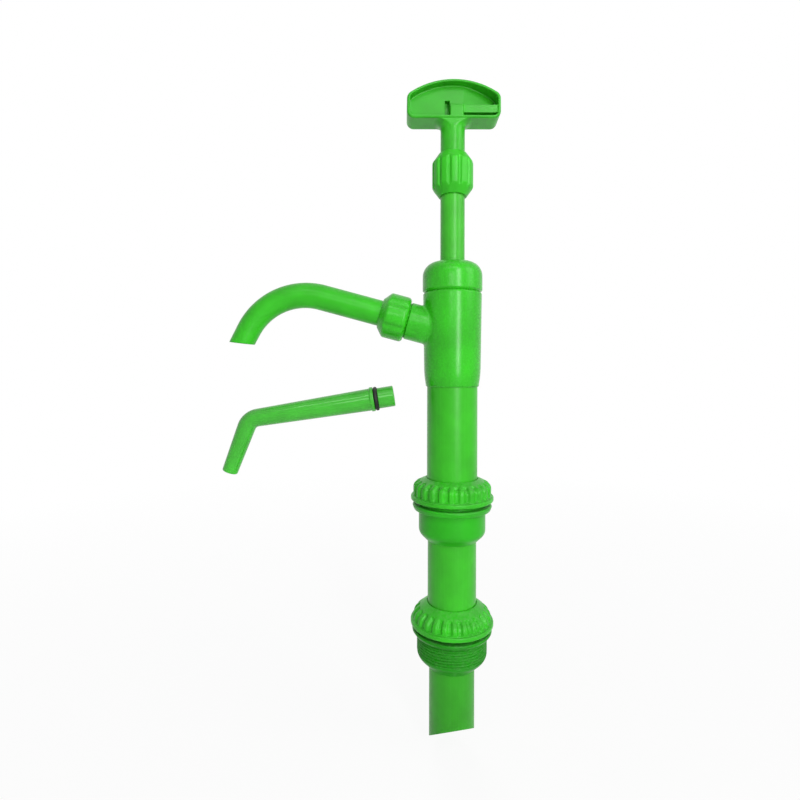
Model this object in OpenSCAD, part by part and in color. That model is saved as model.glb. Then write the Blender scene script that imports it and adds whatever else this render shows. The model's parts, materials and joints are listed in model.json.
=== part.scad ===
// Hand lift pump for drums, with a loose angled nozzle.
// Sizes in millimetres, angles in degrees. +Z is up along the pump's axis, the spout points to -X.
// The origin is on that axis, on the face that seats on the drum's bung.

/* [Tubes] */
// Outside diameter of the suction tube.
suction_d = 38.6; // [34:0.1:42]
// From the bung seat down to the slanted end, on the axis.
suction_len = 87.7; // [60:0.1:400]
// Slope of the slanted end.
suction_cut = 37; // [0:1:45]
// Direction the slanted end looks in, turned from the front.
suction_turn = 13; // [-90:1:90]
// Outside diameter of the middle tube.
middle_d = 41.4; // [40:0.1:46]
// Length of middle tube that shows between the unions.
middle_len = 53.6; // [20:0.2:200]
// Outside diameter of the pump cylinder.
cylinder_d = 43; // [41:0.5:46]
// Length of cylinder that shows between the upper nut and the head.
cylinder_len = 78; // [60:0.2:200]
// Wall of the tubes and the cylinder.
tube_wall = 2.4; // [1.8:0.1:3]

/* [Bung adapter] */
// Outside diameter of the drum thread, a 2 inch pipe thread.
bung_thread_d = 59.6; // [56:0.2:64]
// Length of the drum thread.
bung_thread_len = 16.5; // [10:0.5:30]
// Width of the flat ring that seats on the bung.
seat_width = 2.4; // [1:0.1:4]
// Height of the collar above the seat.
collar_h = 3.9; // [3:0.1:20]
// How much further out the collar reaches at its top than at its seat.
collar_flare = 1.8; // [0:0.1:4]

/* [Unions] */
// Outside diameter of the threads the union nuts run on.
union_thread_d = 56; // [54:0.2:58]
// Height of a union nut.
nut_h = 18.3; // [17.8:0.1:32]
// Diameter of the lip round the foot of a union nut.
nut_lip_d = 70.4; // [69:0.2:76]
// Diameter over the ribs just above the lip.
nut_body_d = 66.4; // [65:0.2:68]
// Height of the lip.
nut_lip_h = 3.6; // [3:0.1:4.4]
// Chamfer under the lip.
nut_undercut = 0.8; // [0.5:0.1:2]
// How thick the inner lip at the nut's top is.
nut_shoulder_h = 8.4; // [8:0.1:9.4]
// Radius where the nut's side turns into its sloped top.
nut_top_round = 7; // [5:0.1:8]
// Slope of the nut's top.
nut_slope = 36; // [30:1:40]
// Number of ribs round a union nut.
nut_ribs = 24; // [16:1:30]
// Radius of the grooves between the ribs.
nut_groove_r = 2.2; // [1:0.1:2.4]
// Open gap between a union nut and the collar below it.
nut_gap = 3.4; // [1:0.1:4]
// Thickness of the flanges on the tube ends.
flange_h = 3.2; // [3:0.2:6]
// Thickness of the union gaskets.
gasket_h = 1.6; // [1:0.2:3]
// Diameter of the union socket.
socket_d = 56.8; // [56.2:0.2:64]
// Height of the socket's straight part.
socket_h = 18; // [14:0.5:40]
// Height of the collar on top of the socket.
socket_collar_h = 4.6; // [3:0.1:14]
// Depth to which the tubes sit in their sockets.
tube_depth = 10; // [9:0.5:11]

/* [Head] */
// Diameter of the head under the cap.
head_top_d = 50.2; // [49:0.2:56]
// Diameter of the head at its foot.
head_foot_d = 48.2; // [47:0.2:54]
// Height of the taper at the head's foot.
head_taper = 11; // [3:0.5:20]
// Height of the head.
head_h = 80.4; // [78:0.2:120]
// Depth to which the cylinder sits in the head.
head_depth = 30; // [30:0.5:32]
// Diameter of the gland cap.
cap_d = 51; // [50:0.2:60]
// Height of the gland cap.
cap_h = 25.9; // [23:0.1:40]
// Radius of the cap's domed shoulder.
cap_round = 12.4; // [4:0.2:13]
// From the head's top down to the point where the branch axis meets the pump axis.
branch_drop = 34.2; // [33:0.2:44]
// Rise of the branch.
branch_angle = 15; // [0:1:25]
// Diameter of the branch.
branch_d = 31.8; // [30.6:0.2:36]
// From the pump axis to the branch shoulder, along the branch.
branch_len = 39.6; // [36:0.2:60]

/* [Spout] */
// Outside diameter of the spout.
spout_d = 22.2; // [21:0.2:24]
// Wall of the spout.
spout_wall = 2; // [1.8:0.1:3]
// From the pump axis to the start of the bend, along the branch.
spout_reach = 115.7; // [90:0.5:300]
// Radius of the bend on its centre line.
spout_bend_r = 55; // [30:1:90]
// Angle of the bend.
spout_bend = 78; // [60:1:90]
// Straight length behind the bend, on the centre line.
spout_tip_len = 13.6; // [12:0.2:40]
// Outside diameter of the spout nut.
spout_nut_d = 39; // [37:0.2:44]
// Length of the spout nut.
spout_nut_len = 23.6; // [22:0.2:30]
// Number of lobes round the spout nut.
spout_nut_lobes = 6; // [6:1:12]

/* [Rod and handle] */
// Outside diameter of the pump rod.
rod_d = 20.8; // [19:0.1:22]
// Wall of the pump rod.
rod_wall = 3; // [2:0.1:4]
// Length of rod that shows between the cap and the handle nut.
rod_shown = 56.6; // [20:0.1:58]
// Length of rod inside the handle nut.
rod_in_nut = 17; // [12:0.5:24]
// Length of the plugs that sit in the rod's two ends.
rod_plug_len = 15; // [10:0.5:18]
// Outside diameter of the handle nut.
handle_nut_d = 35; // [32:0.2:40]
// Height of the handle nut.
handle_nut_h = 36.2; // [34:0.2:60]
// Height of the cones at the handle nut's two ends.
handle_nut_cone = 8.6; // [6:0.2:10]
// Number of flutes round the handle nut.
handle_nut_flutes = 12; // [8:1:16]
// Length of stem that shows between the handle nut and the bar.
stem_shown = 26.8; // [15:0.1:60]
// Width of the handle bar.
bar_w = 79; // [60:0.5:120]
// Height of the handle bar in its middle.
bar_h = 32.8; // [32:0.2:44]
// How much lower the bar's top is at its ends.
bar_crown = 12.8; // [6:0.2:13]
// Depth of the bar from front to back.
bar_depth = 22.4; // [21.2:0.2:30]
// Width of the rim round the bar's pockets.
bar_rim = 2.4; // [2:0.1:4]
// Radius of the bar's lower corners.
bar_corner = 6; // [5:0.2:9]
// Width of the column that carries the stem up to the rib.
bar_column = 11.4; // [6:0.2:14]
// Where the column's slot side is, across from the axis.
column_x = -3.2; // [-4:0.1:2]
// Thickness of the web between the pockets of the two faces.
bar_web = 2.8; // [2:0.1:4]
// Depth of the flat panel in one half of each face.
panel_depth = 6.8; // [2:0.1:8]
// Height of the rib that crosses the deep pocket.
bar_rib_h = 6.6; // [4:0.2:8]
// Open gap under that rib.
bar_rib_gap = 2.4; // [1.6:0.1:4]
// Width of the slot beside the panel.
slot_w = 4.4; // [3:0.1:6]
// Height of the slot.
slot_h = 15; // [8:0.2:18]
// How much deeper the slot is than the panel.
slot_drop = 3.6; // [2:0.2:5]
// Radius of the fillet from the stem to the bar.
stem_fillet = 7; // [3:0.2:9]

/* [Valves] */
// Diameter of the foot valve's ball.
foot_ball_d = 20; // [18:0.2:22]
// Diameter of the piston's ball.
piston_ball_d = 17; // [15:0.2:18]
// Open height above the foot ball when it is seated.
foot_lift = 4.4; // [3:0.2:6]
// Open height above the piston ball when it is seated.
piston_lift = 6; // [3:0.2:8]

/* [Nozzle] */
// Where the nozzle's spigot end lies, across from the pump axis.
nozzle_x = -49.9; // [-80:0.5:-45]
// Where the nozzle's spigot end lies, above the bung seat.
nozzle_z = 201.2; // [150:0.1:215]
// How much the nozzle's long leg falls toward the bend.
nozzle_fall = 9.2; // [0:0.2:20]
// Diameter of the spigot that plugs into the spout.
spigot_d = 17.8; // [16.6:0.1:18]
// From the spigot's end to the collar.
spigot_len = 17.4; // [14:0.2:24]
// Length of the long leg up to its corner.
nozzle_long = 125.9; // [80:0.5:200]
// Length of the short leg from the corner.
nozzle_short = 48.4; // [30:0.5:100]
// Angle of the nozzle's bend.
nozzle_bend = 60.5; // [30:0.5:80]
// Radius of the nozzle's bend on its centre line.
nozzle_bend_r = 12; // [9:0.5:20]
// Diameter of the long leg at the collar.
nozzle_wide_d = 19.2; // [17:0.2:22]
// Diameter at the bend.
nozzle_bend_d = 15.4; // [13:0.2:16]
// Diameter at the tip.
nozzle_tip_d = 13.2; // [12:0.2:14]
// Diameter of the nozzle's bore.
nozzle_bore_d = 9.2; // [7:0.2:9.6]

/* [Fits] */
// Radial gap of pieces that are glued or pushed together.
push_gap = 0.1; // [0.05:0.05:0.2]
// Radial gap of a running fit.
run_gap = 0.07; // [0.03:0.01:0.1]
// Gap between pieces that move against each other freely.
free_gap = 0.3; // [0.2:0.05:0.5]
// Gap left above the cap when the handle is right down.
stop_gap = 0.7; // [0.5:0.1:3]

/* [Hidden] */
$fn = 96;

suction_r = suction_d / 2;
middle_r = middle_d / 2;
cylinder_r = cylinder_d / 2;
bore_r = cylinder_r - tube_wall;
rod_r = rod_d / 2;
rod_bore_r = rod_r - rod_wall;
bung_thread_r = bung_thread_d / 2;
seat_r = bung_thread_r + seat_width;
union_thread_r = union_thread_d / 2;
flange_r = union_thread_r - 0.5;
socket_r = socket_d / 2;

// Heights of the lower union, from the seat up.
skirt_r = suction_r + 1.4;
skirt_round = 5;
skirt_h = bung_thread_r - skirt_r + skirt_round * (sqrt(2) - 1);
adapter_foot = -bung_thread_len - skirt_h;
adapter_stop = adapter_foot + skirt_h + tube_depth;
lower_nut_z = collar_h + nut_gap;
lower_nut_top = lower_nut_z + nut_h;
lower_flange_top = lower_nut_top - nut_shoulder_h - free_gap;
lower_flange_z = lower_flange_top - flange_h;
lower_thread_top = lower_flange_z - gasket_h;

// Heights of the upper union.
socket_lip_r = middle_r + 1.6;
socket_round = 4;
socket_cone_h = socket_r - socket_lip_r + socket_round * (sqrt(2) - 1);
socket_z = lower_nut_top + middle_len;
socket_body_z = socket_z + socket_cone_h;
socket_collar_z = socket_body_z + socket_h;
socket_collar_top = socket_collar_z + socket_collar_h;
socket_stop = socket_z + tube_depth;
chamber_z = socket_stop + 2.2;
chamber_r = union_thread_r - 5;
upper_nut_z = socket_collar_top + nut_gap;
upper_nut_top = upper_nut_z + nut_h;
cylinder_flange_top = upper_nut_top - nut_shoulder_h - free_gap;
cylinder_z = cylinder_flange_top - flange_h;
upper_thread_top = cylinder_z - gasket_h;

// Heights of the head and the cap.
head_z = upper_nut_top + cylinder_len;
head_stop = head_z + head_depth;
head_top = head_z + head_h;
cap_top = head_top + cap_h;
plug_r = bore_r + 1.4;
plug_len = 15;
gland_r = rod_r + 4.4;
gland_top = cap_top - 5;
packing_h = 7;
branch_z = head_top - branch_drop;

// Heights along the branch, from the pump axis out.
spout_r = spout_d / 2;
spout_bore_r = spout_r - spout_wall;
shank_r = spout_bore_r + 2.6;
branch_bore_r = shank_r + 0.25;
branch_thread_r = branch_bore_r + 2.8;
branch_thread_len = 13;
branch_end = branch_len + branch_thread_len;
spout_z = branch_len - 8.6;
spout_ring_z = spout_z + 12;
spout_flange_z = branch_end + 0.2;
spout_flange_h = 3.2;
spout_flange_r = branch_thread_r - 0.3;
spout_nut_z = branch_len + 0.7;
spout_nut_r = spout_nut_d / 2;
ring_wire_r = 0.9;

// Heights of the rod, the piston and the handle at rest.
down_travel = rod_shown - stop_gap;
foot_gap = 2;
piston_z = cylinder_z + foot_gap + down_travel;
piston_r = bore_r - free_gap;
piston_h = 15;
ring_z = piston_z + 5;
ring_h = 5;
ring_groove_r = piston_r - 3.2;
piston_hole_r = piston_ball_d / 2 * 0.65;
piston_cone_z = piston_z + 3;
piston_ball_r = piston_ball_d / 2;
piston_ball_z = piston_cone_z - piston_hole_r + piston_ball_r * sqrt(2) + 0.15;
piston_cavity_r = piston_ball_r + 2.4;
piston_cage_z = piston_z + piston_h;
piston_hub_z = piston_ball_z + piston_ball_r + piston_lift + 2;
piston_hub_h = 4;
rod_z = piston_hub_z + piston_hub_h;
handle_nut_z = cap_top + rod_shown;
handle_nut_top = handle_nut_z + handle_nut_h;
handle_nut_r = handle_nut_d / 2;
rod_top = handle_nut_z + rod_in_nut;
washer_h = 2;
stem_z = rod_top + washer_h;
bar_z = handle_nut_top + stem_shown;
bar_top = bar_z + bar_h;
crown_r = (bar_w * bar_w / 4 + bar_crown * bar_crown) / (2 * bar_crown);
pocket_depth = bar_depth - panel_depth - bar_web;

// Foot valve.
foot_seat_h = 6;
foot_ball_r = foot_ball_d / 2;
foot_hole_r = foot_ball_r * 0.65;
foot_cone_r = foot_hole_r + foot_seat_h;
foot_ball_z = chamber_z - foot_hole_r + foot_ball_r * sqrt(2) + 0.15;
foot_cage_z = chamber_z + foot_seat_h;
foot_bar_z = foot_ball_z + foot_ball_r + foot_lift + 0.5;

// Nozzle, measured along its long leg from the spigot's end.
spigot_r = spigot_d / 2;
nozzle_bore_r = nozzle_bore_d / 2;
nozzle_ring_r = 1.7;
nozzle_ring_mid = spigot_r - 0.3;
nozzle_ring_z = spigot_len - nozzle_ring_r - 0.15;
nozzle_collar_h = 3;
nozzle_collar_r = spigot_r + 1.6;
nozzle_tangent = nozzle_bend_r * tan(nozzle_bend / 2);
nozzle_straight = nozzle_long - nozzle_tangent;

// Bends run this far into their straight ends, with a wall drawn in by this step on each side.
bend_lap = 0.3;
bend_step = 0.12;

// Points of an arc about [x, y].
function arc(x, y, r, from, to, steps = 8) =
    [for (i = [0:steps]) let (a = from + (to - from) * i / steps) [x + r * cos(a), y + r * sin(a)]];

// A plain ring between two radii, standing on z.
module ring(outer, inner, z, h) {
    translate([0, 0, z])
        rotate_extrude()
            translate([inner, 0])
                square([outer - inner, h]);
}

// Copies turned evenly round the axis.
module round_about(count) {
    for (i = [0:count - 1])
        rotate([0, 0, i * 360 / count])
            children();
}

// Places a piece that is drawn up +Z onto the branch.
module on_branch() {
    translate([0, 0, branch_z])
        rotate([0, branch_angle - 90, 0])
            children();
}

// A hollow bend that starts at z and turns toward -X. Its wall is a little thinner than its straight ends.
module bend(z, radius, angle, outer, inner) {
    translate([-radius, 0, z])
        rotate([90, 0, 0])
            rotate_extrude(angle = angle)
                translate([radius, 0])
                    difference() {
                        circle(r = outer - bend_step);
                        circle(r = inner + bend_step);
                    }
}

// Places a piece behind that bend.
module behind_bend(z, radius, angle) {
    translate([-radius, 0, z])
        rotate([0, -angle, 0])
            translate([radius, 0, 0])
                children();
}

// A union nut that stands on z and slides on a tube of the given radius.
module union_nut(z, tail_r) {
    lip_r = nut_lip_d / 2;
    body_r = nut_body_d / 2;
    neck_r = tail_r + 1;
    lean = 90 - nut_slope;
    cone_r = body_r - nut_top_round * (1 - cos(lean));
    round_z = nut_h - (cone_r - neck_r) * tan(nut_slope) - nut_top_round * sin(lean);
    shoulder_z = nut_h - nut_shoulder_h;
    inner_r = union_thread_r + free_gap;
    hole_r = tail_r + free_gap;
    outline = concat(
        [[inner_r, 0], [lip_r - nut_undercut, 0], [lip_r, nut_undercut]],
        arc(lip_r - 1, nut_lip_h - 1, 1, 0, 90, 4),
        [[body_r, nut_lip_h]],
        arc(body_r - nut_top_round, round_z, nut_top_round, 0, lean, 6),
        [[neck_r, nut_h], [hole_r, nut_h], [hole_r, shoulder_z], [inner_r, shoulder_z]]);
    translate([0, 0, z])
        difference() {
            rotate_extrude()
                polygon(outline);
            round_about(nut_ribs)
                translate([body_r + 0.5, 0, nut_lip_h + 0.6])
                    cylinder(r = nut_groove_r, h = nut_h, $fn = 24);
        }
}

module handle() {
    fillet = concat(
        [[0, bar_z + 1], [0, bar_z - stem_fillet]],
        arc(rod_r + stem_fillet, bar_z - stem_fillet, stem_fillet, 180, 90, 6),
        [[rod_r + stem_fillet, bar_z + 1]]);
    color([0.24, 0.72, 0.18])
        difference() {
            union() {
                rotate([90, 0, 0])
                    linear_extrude(bar_depth, center = true)
                        bar_outline(0);
                translate([0, 0, stem_z])
                    cylinder(r = rod_r, h = bar_z + bar_rim - stem_z);
                translate([0, 0, stem_z - washer_h - rod_plug_len])
                    cylinder(r = rod_bore_r - push_gap, h = rod_plug_len + washer_h + 1);
                intersection() {
                    rotate_extrude()
                        polygon(fillet);
                    translate([-bar_w / 2, -rod_r, bar_z - bar_h])
                        cube([bar_w, rod_d, 2 * bar_h]);
                }
            }
            bar_pockets();
            rotate([0, 0, 180])
                bar_pockets();
        }
}

// Front view of the handle bar, drawn in by an inset.
module bar_outline(inset) {
    half = bar_w / 2 - inset;
    low = bar_corner - inset;
    foot = bar_z + inset;
    intersection() {
        polygon(concat(
            arc(half - low, foot + low, low, -90, 0, 6),
            [[half, bar_top], [-half, bar_top]],
            arc(low - half, foot + low, low, 180, 270, 6)));
        translate([0, bar_top - crown_r])
            circle(r = crown_r - inset, $fn = 180);
    }
}

// A pocket in the bar's front face, with the bar's outline inside its rim, between x and its end.
module front_pocket(x, end, z, top, depth) {
    translate([0, depth - bar_depth / 2, 0])
        rotate([90, 0, 0])
            linear_extrude(depth + 1)
                intersection() {
                    bar_outline(bar_rim);
                    translate([x, z])
                        square([end - x, top - z]);
                }
}

// A wedge that is as deep as the panel at x and as deep as the pocket at the bar's end.
module pocket_wedge(x) {
    face = -bar_depth / 2;
    translate([0, 0, bar_z])
        linear_extrude(bar_h)
            polygon([
                [x, face - 1], [bar_w / 2, face - 1], [bar_w / 2, face + pocket_depth], [x, face + panel_depth]]);
}

// Pockets of one face: a panel on the left that runs on over the column, a slot in it beside the column,
// and on the right a deep pocket that a rib crosses and whose floor slopes above the rib.
module bar_pockets() {
    column_end = column_x + bar_column;
    rib_z = bar_z + bar_rim + bar_rib_gap;
    rib_top = rib_z + bar_rib_h;
    front_pocket(-bar_w, column_x, bar_z, bar_top, panel_depth);
    front_pocket(column_x - 1, column_end + 1, rib_top, bar_top, panel_depth);
    front_pocket(column_x - slot_w, column_x, bar_z, bar_z + bar_rim + slot_h, panel_depth + slot_drop);
    front_pocket(column_end, bar_w, bar_z, rib_z, pocket_depth);
    front_pocket(column_end, bar_w, rib_z - 1, rib_top + 1, 1);
    intersection() {
        front_pocket(column_end, bar_w, rib_top, bar_top, pocket_depth);
        pocket_wedge(column_end);
    }
}

module handle_nut() {
    r = handle_nut_r;
    end_r = rod_r + 1.7;
    hole_r = rod_r + free_gap;
    low_round = 4;
    top_round = 3;
    outline = concat(
        [[hole_r, 0], [end_r, 0]],
        arc(r - low_round, handle_nut_cone, low_round, -48, 0, 5),
        arc(r - top_round, handle_nut_h - handle_nut_cone, top_round, 0, 46, 4),
        [[end_r, handle_nut_h], [hole_r, handle_nut_h]]);
    color([0.24, 0.72, 0.18])
        translate([0, 0, handle_nut_z])
            difference() {
                rotate_extrude()
                    polygon(outline);
                round_about(handle_nut_flutes)
                    rotate([0, 0, 180 / handle_nut_flutes])
                        translate([r + 1.2, 0, -1])
                                cylinder(r = 2.6, h = handle_nut_h + 2, $fn = 32);
            }
}

module handle_washer() {
    color([0.1, 0.1, 0.1])
        ring(rod_r, rod_bore_r, rod_top, washer_h);
}

module piston_rod() {
    color([0.3, 0.68, 0.25])
        ring(rod_r, rod_bore_r, rod_z, rod_top - rod_z);
}

module piston_cage() {
    foot_r = piston_r - 0.3;
    color([0.24, 0.72, 0.18]) {
        difference() {
            union() {
                translate([0, 0, piston_cage_z])
                    cylinder(r = foot_r, h = 3.4);
                translate([0, 0, piston_hub_z])
                    cylinder(r = rod_r + 3.4, h = piston_hub_h);
                translate([0, 0, piston_cage_z])
                    round_about(4)
                        translate([piston_ball_r + 0.6, -2.5, 0])
                            cube([4.6, 5, piston_hub_z + 1 - piston_cage_z]);
            }
            translate([0, 0, piston_cage_z - 1])
                cylinder(r = piston_ball_r + 1, h = piston_hub_z - piston_cage_z + 1);
        }
        translate([0, 0, rod_z - 1])
            cylinder(r = rod_bore_r - push_gap, h = rod_plug_len + 1);
    }
}

module piston_head() {
    outline = [
        [piston_hole_r, 0], [piston_r - 1.5, 0], [piston_r, 1.5], [piston_r, ring_z - piston_z],
        [ring_groove_r, ring_z - piston_z], [ring_groove_r, ring_z + ring_h - piston_z],
        [piston_r, ring_z + ring_h - piston_z], [piston_r, piston_h], [piston_cavity_r, piston_h],
        [piston_cavity_r, 3 + piston_cavity_r - piston_hole_r], [piston_hole_r, 3]];
    color([0.24, 0.72, 0.18])
        translate([0, 0, piston_z])
            rotate_extrude()
                polygon(outline);
}

module piston_ring() {
    color([0.1, 0.1, 0.1])
        ring(bore_r - run_gap, ring_groove_r + run_gap, ring_z + 0.15, ring_h - 0.3);
}

module piston_ball() {
    color([0.75, 0.75, 0.77])
        translate([0, 0, piston_ball_z])
            sphere(r = piston_ball_r);
}

module gland_cap() {
    r = cap_d / 2;
    f = cap_round;
    hole_r = rod_r + free_gap;
    outline = concat(
        [[gland_r, head_top - plug_len], [plug_r - push_gap, head_top - plug_len],
         [plug_r - push_gap, head_top], [r - 1.8, head_top], [r, head_top + 1.6]],
        arc(r - f, cap_top - f, f, 0, 90, 10),
        [[hole_r, cap_top], [hole_r, gland_top], [gland_r, gland_top]]);
    color([0.24, 0.72, 0.18])
        rotate_extrude()
            polygon(outline);
}

module rod_packing() {
    color([0.1, 0.1, 0.1])
        ring(gland_r - push_gap, rod_r + run_gap, gland_top - packing_h, packing_h);
}

module rod_bush() {
    foot = head_top - plug_len;
    color([0.85, 0.85, 0.8])
        ring(gland_r - push_gap, rod_r + run_gap, foot, gland_top - packing_h - foot);
}

module pump_head() {
    foot_r = head_foot_d / 2;
    top_r = head_top_d / 2;
    outline = concat(
        [[0, head_z], [cylinder_r + 1, head_z], [foot_r, head_z + head_taper]],
        [[top_r, head_top - 1.4], [top_r - 1.4, head_top], [0, head_top]]);
    color([0.24, 0.72, 0.18])
        difference() {
            union() {
                rotate_extrude()
                    polygon(outline);
                on_branch() {
                    translate([0, 0, 10])
                        cylinder(r = branch_d / 2, h = branch_len - 10);
                    translate([0, 0, 10])
                        cylinder(r = branch_thread_r, h = branch_end - 10);
                }
            }
            translate([0, 0, head_z - 1])
                cylinder(r = cylinder_r + push_gap, h = head_depth + 1);
            translate([0, 0, head_z])
                cylinder(r = bore_r, h = head_h - 1);
            translate([0, 0, head_top - plug_len])
                cylinder(r = plug_r, h = plug_len + 1);
            on_branch() {
                cylinder(r = spout_bore_r, h = branch_end);
                translate([0, 0, spout_z - 0.2])
                    cylinder(r = branch_bore_r, h = branch_end);
            }
        }
}

module cylinder_tube() {
    color([0.23, 0.68, 0.17])
        difference() {
            union() {
                translate([0, 0, cylinder_z])
                    cylinder(r = flange_r, h = flange_h);
                translate([0, 0, cylinder_z])
                    cylinder(r = cylinder_r, h = head_stop - cylinder_z);
            }
            translate([0, 0, cylinder_z - 1])
                cylinder(r = bore_r, h = head_stop - cylinder_z + 2);
        }
}

module upper_union_nut() {
    color([0.24, 0.72, 0.18])
        union_nut(upper_nut_z, cylinder_r);
}

module upper_union_gasket() {
    color([0.1, 0.1, 0.1])
        ring(flange_r, bore_r, upper_thread_top, gasket_h);
}

module union_socket() {
    top_r = nut_lip_d / 2 - 1.4;
    outline = concat(
        [[middle_r + push_gap, socket_z], [socket_lip_r, socket_z]],
        arc(socket_r - socket_round, socket_body_z, socket_round, -45, 0, 4),
        [[socket_r, socket_collar_z], [top_r - 1.2, socket_collar_z],
         [top_r, socket_collar_top - 1.4], [top_r - 0.8, socket_collar_top], [union_thread_r, socket_collar_top],
         [union_thread_r, upper_thread_top], [chamber_r, upper_thread_top], [chamber_r, chamber_z],
         [middle_r - tube_wall, chamber_z], [middle_r - tube_wall, socket_stop],
         [middle_r + push_gap, socket_stop]]);
    color([0.24, 0.72, 0.18])
        rotate_extrude()
            polygon(outline);
}

module foot_valve_cage() {
    color([0.24, 0.72, 0.18])
        difference() {
            union() {
                translate([0, 0, foot_cage_z])
                    cylinder(r = chamber_r - push_gap, h = 3);
                translate([0, 0, foot_cage_z])
                    round_about(4)
                        translate([foot_ball_r + 0.4, -2.2, 0])
                            cube([5, 4.4, upper_thread_top - foot_cage_z]);
                translate([0, 0, foot_bar_z])
                    round_about(4)
                        translate([-2.2, -2.2, 0])
                            cube([foot_ball_r + 7, 4.4, upper_thread_top - foot_bar_z]);
            }
            translate([0, 0, foot_cage_z - 1])
                cylinder(r = foot_ball_r + 0.7, h = foot_bar_z - foot_cage_z + 1);
        }
}

module foot_valve_ball() {
    color([0.75, 0.75, 0.77])
        translate([0, 0, foot_ball_z])
            sphere(r = foot_ball_r);
}

module foot_valve_seat() {
    outline = [[foot_hole_r, chamber_z], [chamber_r - push_gap, chamber_z],
               [chamber_r - push_gap, foot_cage_z], [foot_cone_r, foot_cage_z]];
    color([0.24, 0.72, 0.18])
        rotate_extrude()
            polygon(outline);
}

module middle_tube() {
    color([0.23, 0.66, 0.16])
        difference() {
            union() {
                translate([0, 0, lower_flange_z])
                    cylinder(r = flange_r, h = flange_h);
                translate([0, 0, lower_flange_z])
                    cylinder(r = middle_r, h = socket_stop - lower_flange_z);
            }
            translate([0, 0, lower_flange_z - 1])
                cylinder(r = middle_r - tube_wall, h = socket_stop - lower_flange_z + 2);
        }
}

module lower_union_nut() {
    color([0.24, 0.72, 0.18])
        union_nut(lower_nut_z, middle_r);
}

module lower_union_gasket() {
    color([0.1, 0.1, 0.1])
        ring(flange_r, middle_r - tube_wall, lower_thread_top, gasket_h);
}

module bung_adapter() {
    bore = suction_r - tube_wall - 0.6;
    outline = concat(
        [[suction_r + push_gap, adapter_foot], [skirt_r, adapter_foot]],
        arc(bung_thread_r - skirt_round, -bung_thread_len, skirt_round, -45, 0, 4),
        [[bung_thread_r, 0], [seat_r, 0],
         [seat_r + collar_flare, collar_h - 1.4], [seat_r + collar_flare - 0.8, collar_h],
         [union_thread_r, collar_h], [union_thread_r, lower_thread_top], [bore, lower_thread_top],
         [bore, adapter_stop], [suction_r + push_gap, adapter_stop]]);
    color([0.24, 0.72, 0.18])
        rotate_extrude()
            polygon(outline);
}

module suction_tube() {
    reach = suction_len + suction_r * tan(suction_cut) + 1;
    cut = 2 * suction_d;
    color([0.2, 0.6, 0.14])
        difference() {
            ring(suction_r, suction_r - tube_wall, -reach, adapter_stop + reach);
            translate([0, 0, -suction_len])
                rotate([0, 0, suction_turn])
                    rotate([-suction_cut, 0, 0])
                        translate([-cut / 2, -cut / 2, -cut])
                            cube([cut, cut, cut]);
        }
}

module spout() {
    tip_x = -spout_bend_r * (1 - cos(spout_bend)) - spout_tip_len * sin(spout_bend);
    tip_u = spout_reach + spout_bend_r * sin(spout_bend) + spout_tip_len * cos(spout_bend);
    tip_z = branch_z + tip_u * sin(branch_angle) + tip_x * cos(branch_angle);
    tip_edge = tip_x * sin(branch_angle) - tip_u * cos(branch_angle) - 1.5 * spout_d;
    groove_r = shank_r - 2 * ring_wire_r;
    groove_z = spout_ring_z - ring_wire_r - 0.2;
    groove_top = spout_ring_z + ring_wire_r + 0.2;
    flange_top = spout_flange_z + spout_flange_h;
    cut = 2 * spout_d;
    outline = [
        [spout_bore_r, spout_z], [shank_r, spout_z], [shank_r, groove_z], [groove_r, groove_z],
        [groove_r, groove_top], [shank_r, groove_top], [shank_r, spout_flange_z],
        [spout_flange_r, spout_flange_z], [spout_flange_r, flange_top], [spout_r, flange_top],
        [spout_r, spout_reach + bend_lap], [spout_bore_r, spout_reach + bend_lap]];
    color([0.24, 0.72, 0.18])
        difference() {
            on_branch() {
                rotate_extrude()
                    polygon(outline);
                bend(spout_reach, spout_bend_r, spout_bend, spout_r, spout_bore_r);
                behind_bend(spout_reach, spout_bend_r, spout_bend)
                    ring(spout_r, spout_bore_r, -bend_lap, spout_tip_len + spout_r);
            }
            translate([tip_edge, -cut / 2, tip_z - cut])
                cube([3 * spout_d, cut, cut]);
        }
}

module spout_o_ring() {
    color([0.1, 0.1, 0.1])
        on_branch()
            translate([0, 0, spout_ring_z])
                rotate_extrude()
                    translate([shank_r - ring_wire_r + 0.1, 0])
                        circle(r = ring_wire_r, $fn = 32);
}

module spout_nut() {
    r = spout_nut_r;
    inner_r = branch_thread_r + free_gap;
    hole_r = spout_r + free_gap;
    lip_z = spout_flange_z + spout_flange_h + free_gap - spout_nut_z;
    len = spout_nut_len;
    outline = concat(
        [[inner_r, 0]],
        arc(r - 3.6, 3.6, 3.6, -90, 0, 6),
        arc(r - 2.4, len - 7.4, 2.4, 0, 46, 4),
        [[hole_r + 1.4, len], [hole_r, len], [hole_r, lip_z], [inner_r, lip_z]]);
    color([0.24, 0.72, 0.18])
        on_branch()
            translate([0, 0, spout_nut_z])
                difference() {
                    rotate_extrude()
                        polygon(outline);
                    round_about(spout_nut_lobes)
                        translate([r + 5.6, 0, -1])
                            cylinder(r = 6.8, h = len + 2, $fn = 48);
                }
}

// Places a piece that is drawn up +Z onto the loose nozzle's long leg.
module on_nozzle() {
    translate([nozzle_x, 0, nozzle_z])
        rotate([0, -90 - nozzle_fall, 0])
            children();
}

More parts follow.
